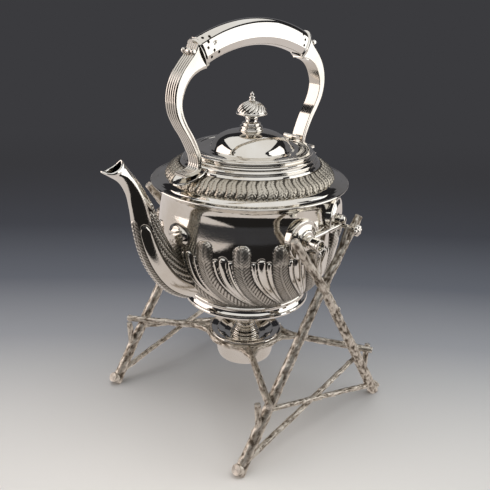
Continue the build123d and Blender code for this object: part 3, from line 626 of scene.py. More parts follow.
def finialCap():
    f = finialForm
    run = smoothRows(f["run"], 34)
    theta = np.arange(f["columns"]) * 2 * math.pi / f["columns"]
    level = np.linspace(0, 1, len(run))[:, None]
    phase = (theta[None, :] - np.radians(f["twist"]) * level) * f["flutes"] / (2 * math.pi) % 1.0
    groove = 1 - np.sqrt(np.clip(1 - (2 * phase - 1) ** 2, 0, 1))
    cut = f["depth"] * groove * smoothStep(0.02, 0.12, level) * np.clip(1.25 - level, 0.2, 1)
    radius = run[:, 0][:, None] - cut * 0.9
    height = run[:, 1][:, None] - cut * 0.35 * level
    under = [(13.1, 280.8), (13.5, 280.5), (13.6, 279.9), (13.3, 279.3), (12.4, 278.9), (9.0, 278.6),
        (4.0, 279.4)]
    rowsUnder = [np.stack([r * np.cos(theta), r * np.sin(theta), np.full_like(theta, z)], -1) for r,
        z in reversed(under)]
    rowsTop = [np.stack([radius[i] * np.cos(theta), radius[i] * np.sin(theta),
        np.broadcast_to(height[i], theta.shape)], -1) for i in range(len(run))]
    rows = rowsUnder + rowsTop
    points = np.vstack(rows + [[[0, 0, 279.4]], [[0, 0, 290.4]]])
    n, count = f["columns"], len(rows)
    faces = gridFaces(count, n) + poleFaces(count, n, count * n, count * n + 1)
    marks = np.concatenate([np.zeros(len(under) * n), (smoothStep(0.2, 0.8, groove) * smoothStep(0.02, 0.1,
        level)).ravel(), [0, 0]])
    makePiece("finialCap", (points, faces), chased, "lid", ("finial_cap",), marks={"recess": marks}, sharp=60)


finialCap()


# cast foliate band: one leaf repeated round the shoulder
bandForm = {"leaves": 54, "columns": 19, "rows": 30, "rise": 0.95, "fringe": 1.5,
            "face": [(74.7, 226.4), (74.6, 227.6), (74.0, 229.4), (72.4, 231.8), (69.6, 234.2), (66.2,
                236.2), (63.1, 237.6)],
            "back": [(62.6, 236.4), (62.9, 235.1), (68.5, 230.9), (73.2, 227.3), (73.9, 226.6)]}


def repeatTree():
    tree, start, end = newTree("radialRepeat", [("Copies", "Int", 12), ("Turn", "Float", 0.5),
        ("Centre", "Vector", None), ("Join distance", "Float", 0.00002), ("Finish", "Material", None)])
    points = addNode(tree, "Points", {"Count": start.outputs["Copies"], "Position": start.outputs["Centre"]})
    index = addNode(tree, "InputIndex")
    angle = addNode(tree, "Math", {0: index, 1: start.outputs["Turn"]}, operation="MULTIPLY")
    turned = addNode(tree, "AxisAngleToRotation", {"Axis": (0, 0, 1), "Angle": angle})
    copies = addNode(tree, "InstanceOnPoints", {"Points": points, "Instance": start, "Rotation": turned})
    real = addNode(tree, "RealizeInstances", {0: copies})
    merged = addNode(tree, "MergeByDistance", {"Geometry": real, "Distance": start.outputs["Join distance"]})
    finish = addNode(tree, "SetMaterial", {"Geometry": merged, "Material": start.outputs["Finish"]})
    feed(tree, end, {0: finish})
    return tree


repeatRound = repeatTree()


def foliateBand():
    f = bandForm
    face = smoothRows(f["face"], f["rows"])
    tangent = np.gradient(face, axis=0)
    normal = np.stack([tangent[:, 1], -tangent[:, 0]], -1)
    normal /= np.linalg.norm(normal, axis=1)[:, None]
    u = np.linspace(-1, 1, f["columns"])[None, :]
    v = np.linspace(0, 1, f["rows"])[:, None]
    sway = 0.75 * (v - 0.5) + 0.28 * np.sin(2 * math.pi * v)
    d = (u - sway + 1) % 2 - 1
    width = 0.97 * np.clip(np.sin(math.pi * (0.16 + 0.74 * v)), 0.05, 1) ** 0.35
    t = np.abs(d) / width
    leaf = np.sqrt(np.clip(1 - t**2, 0, 1))
    veins = np.cos(2 * math.pi * (v * 7.0 + np.abs(d) * 1.6))
    height = f["rise"] * (leaf - 0.62) + 0.22 * veins * (t < 0.95) - 0.5 * np.exp(-(d / 0.13) ** 2) * (
        leaf > 0.2)
    bead = np.exp(-(((v - 0.93) / 0.06) ** 2)) * 0.5 * (0.6 + 0.4 * np.cos(2 * math.pi * u))
    height = height * smoothStep(1.0, 0.9, v) + bead
    dark = np.clip(0.8 * smoothStep(0.84, 1.04, t) + 0.4 * np.exp(-(d / 0.14) ** 2) + 0.3 * smoothStep(0.3,
        1.0, -veins), 0, 1)
    reach = face[:, None, :] + height[:, :, None] * normal[:, None, :]
    hang = np.clip(1 - v / 0.16, 0, 1)
    tooth = np.abs(np.cos(math.pi * (u - sway[0]) / 1.0))
    radius = reach[:, :, 0] + hang * (0.7 * tooth - 0.2)
    level = reach[:, :, 1] + hang * (0.9 - f["fringe"] * tooth)
    back = np.array(f["back"])
    radius = np.vstack([radius, np.repeat(back[:, 0][:, None], f["columns"], 1)])
    level = np.vstack([level, np.repeat(back[:, 1][:, None], f["columns"], 1)])
    angle = np.radians(u * 180 / f["leaves"]) * np.ones_like(radius)
    points = np.stack([radius * np.cos(angle), radius * np.sin(angle), level], -1).reshape(-1, 3) * mm
    rows = f["rows"] + len(back)
    mesh = bpy.data.meshes.new("leafUnit")
    mesh.from_pydata(points.tolist(), [], gridFaces(rows, f["columns"], wrapRows=True, wrapColumns=False))
    marks = np.concatenate([dark.ravel(), np.full(len(back) * f["columns"], 0.6)])
    markPoints(mesh, "recess", marks)
    markPoints(mesh, "matt", np.full(len(marks), 0.45))
    result = settle("foliateBand", mesh, repeatRound, {"Copies": f["leaves"],
        "Turn": 2 * math.pi / f["leaves"], "Centre": (axisX, 0.0, 0.0), "Finish": foliage})
    dressPiece("foliateBand", result, foliage, "kettle", ("shoulder_band",), sharp=75)


foliateBand()
print("foliate band made")


# spout: lofted along its curve, chased on its lower half
spoutForm = {
    # x, z, heading in degrees, half height, half width, mm
    "sections": [(-58.8, 136.2, 148, 14.6, 12.5), (-70.8, 141.5, 143, 15.1, 11.8), (-86.1, 151.4, 132, 14.8,
        10.6),
                 (-101.2, 169.9, 120, 14.0, 9.8), (-110.2, 188.4, 113, 12.9, 9.0), (-115.9, 206.7, 107, 11.2,
                 8.0),
                 (-120.2, 223.4, 107, 9.0, 7.2), (-125.7, 237.1, 118, 6.9, 6.4), (-132.8, 247.5, 120, 6.3,
                 6.0),
                 (-143.4, 257.0, 102, 9.6, 5.2)],
    "rows": 200, "columns": 200, "wall": 1.1, "ridgeTop": 213.0, "bandTop": 207.0, "leafTop": 226.0,
    "tooth": 3.4, "startRow": 12,
}


def spoutRelief(phi, z, along):
    # phi: 0 on the outer edge, 180 on the side towards the bowl
    f = spoutForm
    a = np.abs(phi)
    height, dark = np.zeros_like(a), np.zeros_like(a)
    lower = 1 - smoothStep(f["ridgeTop"] - 5, f["ridgeTop"], z)
    teeth = 0.5 + 0.5 * np.cos(2 * math.pi * along / f["tooth"])
    ridge = smoothStep(11, 6, a) * lower
    height += ridge * (0.2 + 0.75 * teeth)
    dark = np.maximum(dark, ridge * (1 - teeth) * 0.8)
    # matted strip with slanting scales
    strip = smoothStep(11, 14, a) * smoothStep(38, 35, a) * lower
    scales = 0.5 + 0.5 * np.cos(2 * math.pi * (along / 3.1 + a / 20))
    height += strip * (0.4 * scales - 0.15)
    dark = np.maximum(dark, strip * (0.25 + 0.55 * (1 - scales)))
    # plain raised band with a round top
    t = np.abs(a - 63) / 26
    over = np.clip(z - (f["bandTop"] - 9), 0, None) / 9
    reach = np.sqrt(t**2 + over**2)
    height = np.where(reach < 1, 0.9 * np.clip(1 - reach**2.4, 0, 1) ** 0.6, height)
    edge = np.exp(-((reach - 1.05) / 0.09) ** 2) * (z < f["bandTop"] + 2)
    height -= 0.45 * edge
    dark = np.where(reach < 0.93, 0, dark)
    dark = np.maximum(dark, 0.95 * edge)
    # long acanthus veins on the side towards the bowl, their heads in points
    top = f["leafTop"] - 14 * smoothStep(150, 92, a) + 3.0 * np.cos(2 * math.pi * a / 22)
    leafy = smoothStep(90, 95, a) * smoothStep(top, top - 2.5, z)
    sweep = np.cos(2 * math.pi * ((a - 92) / 17 + along / 21))
    short = np.cos(2 * math.pi * (along / 3.4 - a / 24))
    height += leafy * (0.35 + 0.45 * sweep + 0.28 * short)
    dark = np.maximum(dark, leafy * np.clip(0.38 - 0.42 * sweep - 0.28 * short, 0, 1))
    return height, np.clip(dark, 0, 1), np.clip(strip + 0.8 * leafy + 0.3 * ridge, 0, 1) * (reach > 1)


def spoutBody():
    f = spoutForm
    rows = smoothRows(f["sections"], f["rows"])[f["startRow"]:]
    count, columns = len(rows), f["columns"]
    phi = (np.arange(columns) * 360 / columns + 180) % 360 - 180
    along = np.concatenate([[0], np.cumsum(np.linalg.norm(np.diff(rows[:, :2], axis=0), axis=1))])
    heading = np.radians(rows[:, 2])
    outward = np.stack([-np.sin(heading), 0 * heading, np.cos(heading)], -1)
    centre = np.stack([rows[:, 0], 0 * heading, rows[:, 1]], -1)
    rad = np.radians(phi)[None, :, None]

    def shell(grow):
        tall, wide = rows[:, 3][:, None, None] + grow, rows[:, 4][:, None, None] + grow
        side = np.array([0, -1.0, 0])
        return centre[:, None] + tall * np.cos(rad) * outward[:, None] + wide * np.sin(rad) * side

    plain = shell(0.0)
    height, dark, matt = spoutRelief(np.repeat(phi[None, :], count, 0), plain[:, :, 2],
        along[:, None] + 0 * plain[:, :, 2])
    ease = smoothStep(0, 6, count - 1 - np.arange(count))[:, None]
    height, dark = height * ease, dark * ease
    outer = shell(0.0)
    away = outer - centre[:, None]
    away /= np.linalg.norm(away, axis=2)[:, :, None]
    outer = outer + away * height[:, :, None]
    inner = shell(-f["wall"])
    # pouring lip: thin bright bead round the mouth
    flare = np.zeros(count)
    flare[-7:] = [0.0, 0.05, 0.14, 0.26, 0.34, 0.30, 0.10]
    outer = outer + away * flare[:, None, None]
    # the sides of the mouth are cut down, and its back stands up in a hood
    near = smoothStep(17, 0, count - 1 - np.arange(count))[:, None]
    a = np.abs(phi)
    dip = 3.0 * smoothStep(8, 75, a) - 4.6 * np.exp(-((180 - a) / 52) ** 2)
    forward = np.stack([np.cos(heading), 0 * heading, np.sin(heading)], -1)[:, None]
    shift = -(near * dip[None, :])[:, :, None] * forward
    outer, inner = outer + shift, inner + shift
    lip = (outer[-1] + inner[-1]) / 2 + forward[-1] * 0.55
    grid = np.vstack([outer.reshape(-1, 3), lip, inner[::-1].reshape(-1, 3)])
    faces = gridFaces(2 * count + 1, columns, wrapRows=True)
    rest = np.zeros((count + 1) * columns)
    marks = {"recess": np.concatenate([dark.ravel(), rest]), "matt": np.concatenate([matt.ravel(), rest])}
    makePiece("spoutBody", (grid, faces), chased, "kettle", ("spout",), marks=marks, sharp=60)


spoutBody()


# shell on the wall above the spout's root
def spoutShell():
    rings, spokes = 16, 72
    points, marks = [], []
    for i in range(rings + 1):
        rho = i / rings
        for j in range(spokes):
            a = 2 * math.pi * j / spokes
            y, z = 14.0 * rho * math.cos(a), 9.9 * rho * math.sin(a)
            flute = math.cos(26 * math.atan2(z - 9, y + 17))
            rise = 7.2 * math.sqrt(max(0.0, 1 - rho**2.2)) + 0.22 * flute * math.sin(math.pi * rho)
            wallX = -math.sqrt((80.9 - 0.02 * z) ** 2 - y * y)
            points.append((wallX + 0.9 - rise - (0 if rho < 1 else -1.2), y, 187.5 + z))
            marks.append(max(0.0, -flute) * 0.5 * math.sin(math.pi * rho)
                + (0.8 if 0.9 < rho < 0.98 else 0.0))
    top = len(points)
    points.append((-76.5, 0, 187.5))
    marks.append(0)
    faces = gridFaces(rings + 1, spokes)
    faces += [(rings * spokes + (j + 1) % spokes, rings * spokes + j, top) for j in range(spokes)]
    faces.append(tuple(range(spokes - 1, -1, -1)))
    makePiece("spoutShell", (points, faces), chased, "kettle", ("spout_shell",), marks={"recess": marks},
        sharp=60)


spoutShell()
print("spout made")


# handle: reeded arms, hollow vented grip
handleForm = {
    "centreZ": 204.9, "radius": 142.3, "half": 24.2, "collar": 1.5, "over": 9.0, "under": 12.0,
        "footZ": 237.8, "width": 13.2,
    "reeds": 5, "perReed": 9, "reedDepth": 1.25, "stations": 96,
    "outer": [(65.0, 1.0), (69.6, 0.925), (75.2, 0.869), (81.6, 0.795), (86.0, 0.712), (88.2, 0.600), (86.6,
        0.494),
              (81.8, 0.398), (74.6, 0.293), (68.9, 0.187), (66.0, 0.118), (65.8, 0.071), (68.4, 0.044),
              (73.5, 0.033),
              (79.5, 0.029)],
    "inner": [(56.6, 1.0), (61.0, 0.991), (66.6, 0.965), (71.4, 0.930), (75.6, 0.877), (79.4, 0.793), (81.3,
        0.705),
              (80.2, 0.609), (76.0, 0.498), (69.8, 0.384), (65.0, 0.265), (61.8, 0.165), (61.2, 0.086),
              (63.6, 0.028),
              (70.0, 0.005), (79.5, 0.0)],
    "gripSection": [(8.0, 0.0), (7.8, 3.0), (7.0, 6.2), (5.4, 8.8), (3.0, 10.4), (0.0, 10.9), (-3.0, 10.4),
        (-5.4, 8.8),
                    (-7.0, 6.2), (-7.8, 3.0), (-8.0, 0.0), (-7.9, -3.2), (-7.4, -6.0), (-6.6, -8.2), (-5.7,
                    -9.5),
                    (-4.2, -10.2), (-2.2, -10.7), (0.0, -10.9), (2.2, -10.7), (4.2, -10.2), (5.7, -9.5),
                    (6.6, -8.2),
                    (7.4, -6.0), (7.9, -3.2)],
    "wall": 1.1, "ventRadius": 1.2,
    # degrees along the grip's arc and round its section from the top, on both sides
    "vents": [(-20.9, 42), (-23.0, 30), (-22.2, 59), (-19.9, 74), (-23.1, 79), (-21.1, 101), (-19.3, 118),
        (-22.7, 121),
              (-22.0, 0), (22.6, 77), (22.9, 102), (21.2, 58), (23.0, 45)],
}


def armEdge(rows, reach):
    f = handleForm
    tilt = math.radians(f["half"] + f["collar"])
    rise = f["centreZ"] + reach * math.cos(tilt) - f["footZ"]
    shift = reach * math.sin(tilt) - rows[0][0]
    return [(x + shift * share, f["footZ"] + rise * share) for x, share in rows]


def handleArm(end, word):
    f = handleForm
    outer = smoothRows(armEdge(f["outer"], f["radius"] + f["over"]), f["stations"])
    inner = smoothRows(armEdge(f["inner"], f["radius"] - f["under"]), f["stations"])
    half = f["width"] / 2
    section = []        # share of the way in, y, how far below the reeds' crests, how dark
    for i in range(f["reeds"] * f["perReed"] + 1):
        t = (i / f["perReed"]) % 1.0 * 2 - 1
        y = -half + f["width"] * i / (f["reeds"] * f["perReed"])
        edge = i in (0, f["reeds"] * f["perReed"])
        dip = 1 - math.sqrt(max(0.0, 1 - t * t))
        section.append((0.0, y * 0.985, f["reedDepth"] * (0.75 if edge else dip),
            0.0 if edge else smoothStep(0.22, 0.8, dip)))
    section += [(share, half * wide, 0.0, 0.0) for share, wide in ((0.16, 1.0), (0.3, 0.985), (0.5, 0.975),
        (0.7, 0.985), (0.9, 1.0))]
    section += [(1.0, half * t, 0.0, 0.0) for t in (0.94, 0.6, 0.0, -0.6, -0.94)]
    section += [(share, -half * wide, 0.0, 0.0) for share, wide in ((0.9, 1.0), (0.7, 0.985), (0.5, 0.975),
        (0.3, 0.985), (0.16, 1.0))]
    points, marks = [], []
    for i in range(f["stations"]):
        out, into = Vector((outer[i][0], outer[i][1])), Vector((inner[i][0], inner[i][1]))
        across = into - out
        inward = across.normalized()
        for share, y, dip, dark in section:
            spot = out + across * share + inward * dip
            points.append((end * spot.x, y, spot.y))
            marks.append(dark)
    count = len(section)
    faces = gridFaces(f["stations"], count)
    faces.append(tuple(range(count - 1, -1, -1)))
    faces.append(tuple((f["stations"] - 1) * count + j for j in range(count)))
    makePiece("handleArm" + word, (points, faces), reeded, "kettle", ("handle_arm_" + word.lower(),),
        marks={"recess": marks}, sharp=50)


def onArc(angle, y, depth):
    f = handleForm
    reach = f["radius"] + depth
    return (reach * math.sin(angle), y, f["centreZ"] + reach * math.cos(angle))


def gripTube():
    f = handleForm
    section = f["gripSection"] + f["gripSection"][:1]
    round3 = smoothRows(section, 73)[:-1]
    stations = np.radians(np.linspace(-f["half"], f["half"], 72))
    inY, inD = 1 - f["wall"] / 8.0, 1 - f["wall"] / 10.9
    rows = [[onArc(a, y, d) for y, d in round3] for a in stations]
    rows += [[onArc(a, y * inY, d * inD) for y, d in round3] for a in stations[::-1]]
    points = np.array(rows).reshape(-1, 3)
    return makeMesh("gripTube", (points, gridFaces(len(rows), len(round3), wrapRows=True)))


def drillTree():
    tree, start, end = newTree("drillHoles", [("Pattern", "Object", None), ("Hole radius", "Float", 0.001),
        ("Depth", "Float", 0.006), ("Finish", "Material", None)])
    pattern = addNode(tree, "ObjectInfo", {"Object": start.outputs["Pattern"]})
    drill = addNode(tree, "MeshCylinder", {"Vertices": 20, "Radius": start.outputs["Hole radius"],
        "Depth": start.outputs["Depth"]})
    way = addNode(tree, "InputNamedAttribute", {"Name": "way"}, data_type="FLOAT_VECTOR")
    turned = addNode(tree, "AlignRotationToVector", {"Vector": way}, axis="Z")
    holes = addNode(tree, "InstanceOnPoints", {"Points": pattern.outputs["Geometry"], "Instance": drill,
        "Rotation": turned})
    real = addNode(tree, "RealizeInstances", {0: holes})
    cut = addNode(tree, "MeshBoolean", {"Mesh 1": start, "Mesh 2": real}, operation="DIFFERENCE")
    finish = addNode(tree, "SetMaterial", {"Geometry": cut, "Material": start.outputs["Finish"]})
    feed(tree, end, {0: finish})
    return tree


def ventPattern():
    f = handleForm
    places, ways = [], []
    for along, around in f["vents"]:
        for side in ((-1, 1) if around else (1,)):
            a, b = math.radians(along), math.radians(around)
            middle = Vector(onArc(a, side * 8.0 * math.sin(b), 10.9 * math.cos(b)))
            way = (middle - Vector(onArc(a, 0, 0.4 * math.cos(b)))).normalized()
            places.append(middle)
            ways.append(way)
    mesh = makeMesh("ventPattern", (np.array([tuple(p) for p in places]), []))
    mesh.attributes.new("way", "FLOAT_VECTOR", "POINT").data.foreach_set("vector",
        np.array([tuple(w) for w in ways]).ravel())
    pattern = newObject("ventPattern", mesh)
    return pattern


def grip():
    f = handleForm
    pattern = ventPattern()
    mesh = settle("gripTube", gripTube(), drillTree(), {"Pattern": pattern,
        "Hole radius": f["ventRadius"] * mm, "Depth": 6.0 * mm, "Finish": polished})
    bpy.data.objects.remove(pattern)
    dressPiece("gripTube", mesh, polished, "kettle", ("handle_grip",), sharp=28)
    # collar where each arm grips the tube
    for end, word in ((-1, "Front"), (1, "Rear")):
        section = smoothRows(f["gripSection"] + f["gripSection"][:1], 49)[:-1]
        # degrees past the grip's end, and share of the collar's rise over the tube
        steps = [(-0.15, -2.0), (0.0, 0.0), (0.35, 0.92), (0.75, 1.0), (1.0, 0.62), (1.5, 0.62), (1.5, -2.0)]
        rows = [[onArc(math.radians(end * (f["half"] + t)), y * (1 + 0.15 * g), d * (1 + 0.147 * g))
            for y, d in section] for t, g in steps]
        points = np.array(rows).reshape(-1, 3)
        collar = (points, gridFaces(len(rows), len(section), wrapRows=True))
        # spindle of three beads that lies across the reeds' heads
        spindle = rounded([(0, -7.5), (1.5, -7.3), (2.1, -6.2), (2.0, -4.9), (1.2, -4.2), (1.3, -3.4),
            (2.2, -2.4), (2.6, 0.0), (2.2, 2.4), (1.3, 3.4), (1.2, 4.2), (2.0, 4.9), (2.1, 6.2), (1.5, 7.3),
            (0, 7.5)], 0.3)
        bar = turn(spindle, 28, aim((end * 70.0, 0, 335.6), (0, 1, 0)))
        makePiece("gripCollar" + word, joined(collar, bar), polished, "kettle",
            ("grip_collar_" + word.lower(),), sharp=45)


def gripTongue():
    # pointed tongue under the rear end of the grip
    start, tip = Vector((63.5, 0, 320.4)), Vector((46.5, 0, 327.2))
    run = (tip - start)
    down = Vector((run.z, 0, -run.x)).normalized()
    points = []
    shares = [0.0, 0.2, 0.45, 0.7, 0.88, 1.0]
    widths = [6.4, 6.3, 5.6, 3.8, 1.8, 0.35]
    for share, wide in zip(shares, widths):
        spot = start + run * share
        for y, drop in ((-1, 0.0), (-1, 0.9), (-0.5, 1.35), (0, 1.5), (0.5, 1.35), (1, 0.9), (1, 0.0),
                (0, -0.25)):
            place = spot + down * drop * (1 - 0.4 * share)
            points.append((place.x, y * wide, place.z))
    faces = gridFaces(len(shares), 8)
    faces += [tuple(range(7, -1, -1)), tuple((len(shares) - 1) * 8 + j for j in range(8))]
    makePiece("gripTongue", (points, faces), polished, "kettle", sharp=40)


padForm = {"out": 68.5, "z": 237.4, "tilt": 20.0, "size": (18.0, 12.0, 1.0)}
for end, word in ((-1, "Front"), (1, "Rear")):
    handleArm(end, word)
    place = Matrix.Translation((end * padForm["out"], 0, padForm["z"])) @ Matrix.Rotation(
        math.radians(end * padForm["tilt"]), 4, "Y")
    dish = turn(rounded([(0, -0.9), (0.86, -0.9), (0.97, -0.5), (1.0, 0.25), (0.975, 0.85), (0.93, 0.9),
        (0.78, 0.35), (0.45, -0.1), (0, -0.2)], 0.05), 96, place, padForm["size"])
    stem = turn(rounded([(0, -8.0), (6.5, -8.0), (6.5, -0.6), (0, -0.6)], 0.3), 48, place)
    makePiece("armDish" + word, joined(dish, stem), polished, "kettle", ("handle_pad_" + word.lower(),),
        sharp=50)
grip()
gripTongue()
print("handle made")


# pivots, bosses and pins
def wallReach(point, way, inset):
    # distance along way from point to the bowl's wall
    curve = np.array(bowlForm["outside"])
    radius = float(np.interp(point.z, curve[:, 1], curve[:, 0])) - inset
    b = point.x * way.x + point.y * way.y
    c = point.x**2 + point.y**2 - radius**2
    return -b + math.sqrt(max(0.0, b * b - c))


def wallBoss(name, node, centre, way, outline, body="kettle", spokes=96):
    # stepped plate whose back follows the bowl's wall; outline runs from the skirt to the middle
    way, centre = Vector(way).normalized(), Vector(centre)
    side, up = Vector((0, 0, 1)).cross(way), Vector((0, 0, 1))
    face = rounded(outline, 0.35)
    rimR = outline[0][0]
    backRings = (0.35, 0.7, 1.0)
    points = []
    for rho in backRings:
        for j in range(spokes):
            a = 2 * math.pi * j / spokes
            spot = centre + (side * math.cos(a) + up * math.sin(a)) * rimR * rho
            points.append(spot + way * (wallReach(spot, way, 0.7)))
    for radius, rise in face:
        for j in range(spokes):
            a = 2 * math.pi * j / spokes
            spot = centre + (side * math.cos(a) + up * math.sin(a)) * radius
            points.append(spot + way * max(rise, wallReach(spot, way, 0.5)))
    rows = len(backRings) + len(face)
    hub = len(points)
    points += [centre + way * wallReach(centre, way, 0.7), centre + way * face[-1][1]]
    faces = gridFaces(rows, spokes) + poleFaces(rows, spokes, hub, hub + 1)
    makePiece(name, ([tuple(p) for p in points], faces), polished, body, (node,), sharp=50)


pivotForm = {"x": -14.9, "z": 190.3, "pinX": 31.9, "pinZ": 192.5, "trestleY": 92.8, "lugY": 81.0}
for side, word in ((-1, "Near"), (1, "Far")):
    low = word.lower()
    f = pivotForm
    wallBoss("pivotBoss" + word, "pivot_boss_" + low, (f["x"], 0, f["z"]), (0, side, 0),
        [(17.3, 79.0), (17.3, 80.2), (16.7, 80.9), (15.4, 81.1), (13.6, 81.3), (10.6, 82.3), (9.5, 82.5),
        (9.1, 83.0), (8.9, 84.0), (7.9, 84.35), (5.0, 84.4), (2.0, 84.4)])
    away = Vector((f["pinX"], side * f["lugY"], 0)).normalized()
    wallBoss("pinBoss" + word, "rear_boss_" + low, (0, 0, f["pinZ"] + 7.4), away,
        [(16.5, 81.4), (16.5, 82.3), (15.8, 82.8), (14.6, 83.0), (12.8, 83.8), (11.6, 84.2), (11.0, 84.4),
        (6.0, 84.4), (2.0, 84.4)])
    pivotAt, pinAt = (aim((x, 0, z), (0, side, 0)) for x, z in ((f["x"], f["z"]), (f["pinX"], f["pinZ"])))
    axle = turn(rounded([(0, 84.0), (4.6, 84.0), (5.6, 84.5), (5.6, 85.6), (4.4, 86.2), (3.9, 86.6),
        (3.9, 94.6), (3.4, 95.5), (2.0, 95.85), (0, 95.9)], 0.25), 48, pivotAt)
    makePiece("pivotAxle" + word, axle, polished, "kettle", ("trunnion_" + low,), sharp=45)
    ring = turn(rounded([(3.95, 87.05), (5.0, 87.05), (5.3, 87.6), (5.3, 89.4), (4.95, 90.2), (4.95, 95.4),
        (5.3, 96.2), (5.3, 98.0), (5.0, 98.55), (3.95, 98.55)], 0.2), 48, pivotAt)
    makePiece("pivotRing" + word, ring, polished, "stand", ("bearing_" + low,), sharp=45)
    guide = turn(rounded([(1.65, 87.5), (2.5, 87.5), (2.7, 88.0), (2.5, 89.0), (2.45, 96.6), (2.7, 97.5),
        (2.5, 98.1), (1.65, 98.1)], 0.15), 36, pinAt)
    makePiece("pinGuide" + word, guide, polished, "stand", ("pin_guide_" + low,), sharp=45)
    # leafy head of the locking pin
    spokes, rings = 96, []
    for rho, rise in ((1.0, 98.7), (1.0, 99.4), (0.97, 99.9), (0.86, 100.4), (0.7, 100.7), (0.5, 100.6),
            (0.38, 100.9), (0.22, 101.4), (0.08, 101.55)):
        ring = []
        for j in range(spokes):
            a = 2 * math.pi * j / spokes
            petal = abs(math.cos(4 * a))
            radius = 5.2 * rho * (1 - 0.14 * (1 - petal) * smoothStep(0.45, 1.0, rho))
            ring.append((radius * math.cos(a), radius * math.sin(a), rise
                - 0.3 * (1 - petal) * (0.3 < rho < 0.95)))
        rings.append(ring)
    points = np.array(rings).reshape(-1, 3)
    points = np.vstack([points, [[0, 0, 98.7], [0, 0, 101.6]]])
    hub = len(rings) * spokes
    faces = gridFaces(len(rings), spokes) + poleFaces(len(rings), spokes, hub, hub + 1)
    makePiece("pinRosette" + word, (moved(points, pinAt), faces), polished, "pin_" + low,
        ("pin_rosette_" + low,), sharp=50)
print("pivots made")


# rustic stand: bark-covered branches grown along their lines
standForm = {
    "footSpan": 93.6, "crossZ": 144.5, "topReach": 42.7, "topRise": 56.1, "trestleY": 92.8, "split": 1.5,
        "stub": 6.2,
    "twigZ": 35.0, "twigRise": 27.3, "twigLean": 2.7, "braceLow": 10.0, "braceHigh": 52.5, "braceSplit": 1.2,
    "ringZ": 66.0, "ringR": 34.6, "armAt": 52.0,
    "step": 1.3, "sides": 26, "ridge": 0.75, "wander": 0.55, "knots": 2600.0, "fullness": 1.04,
}


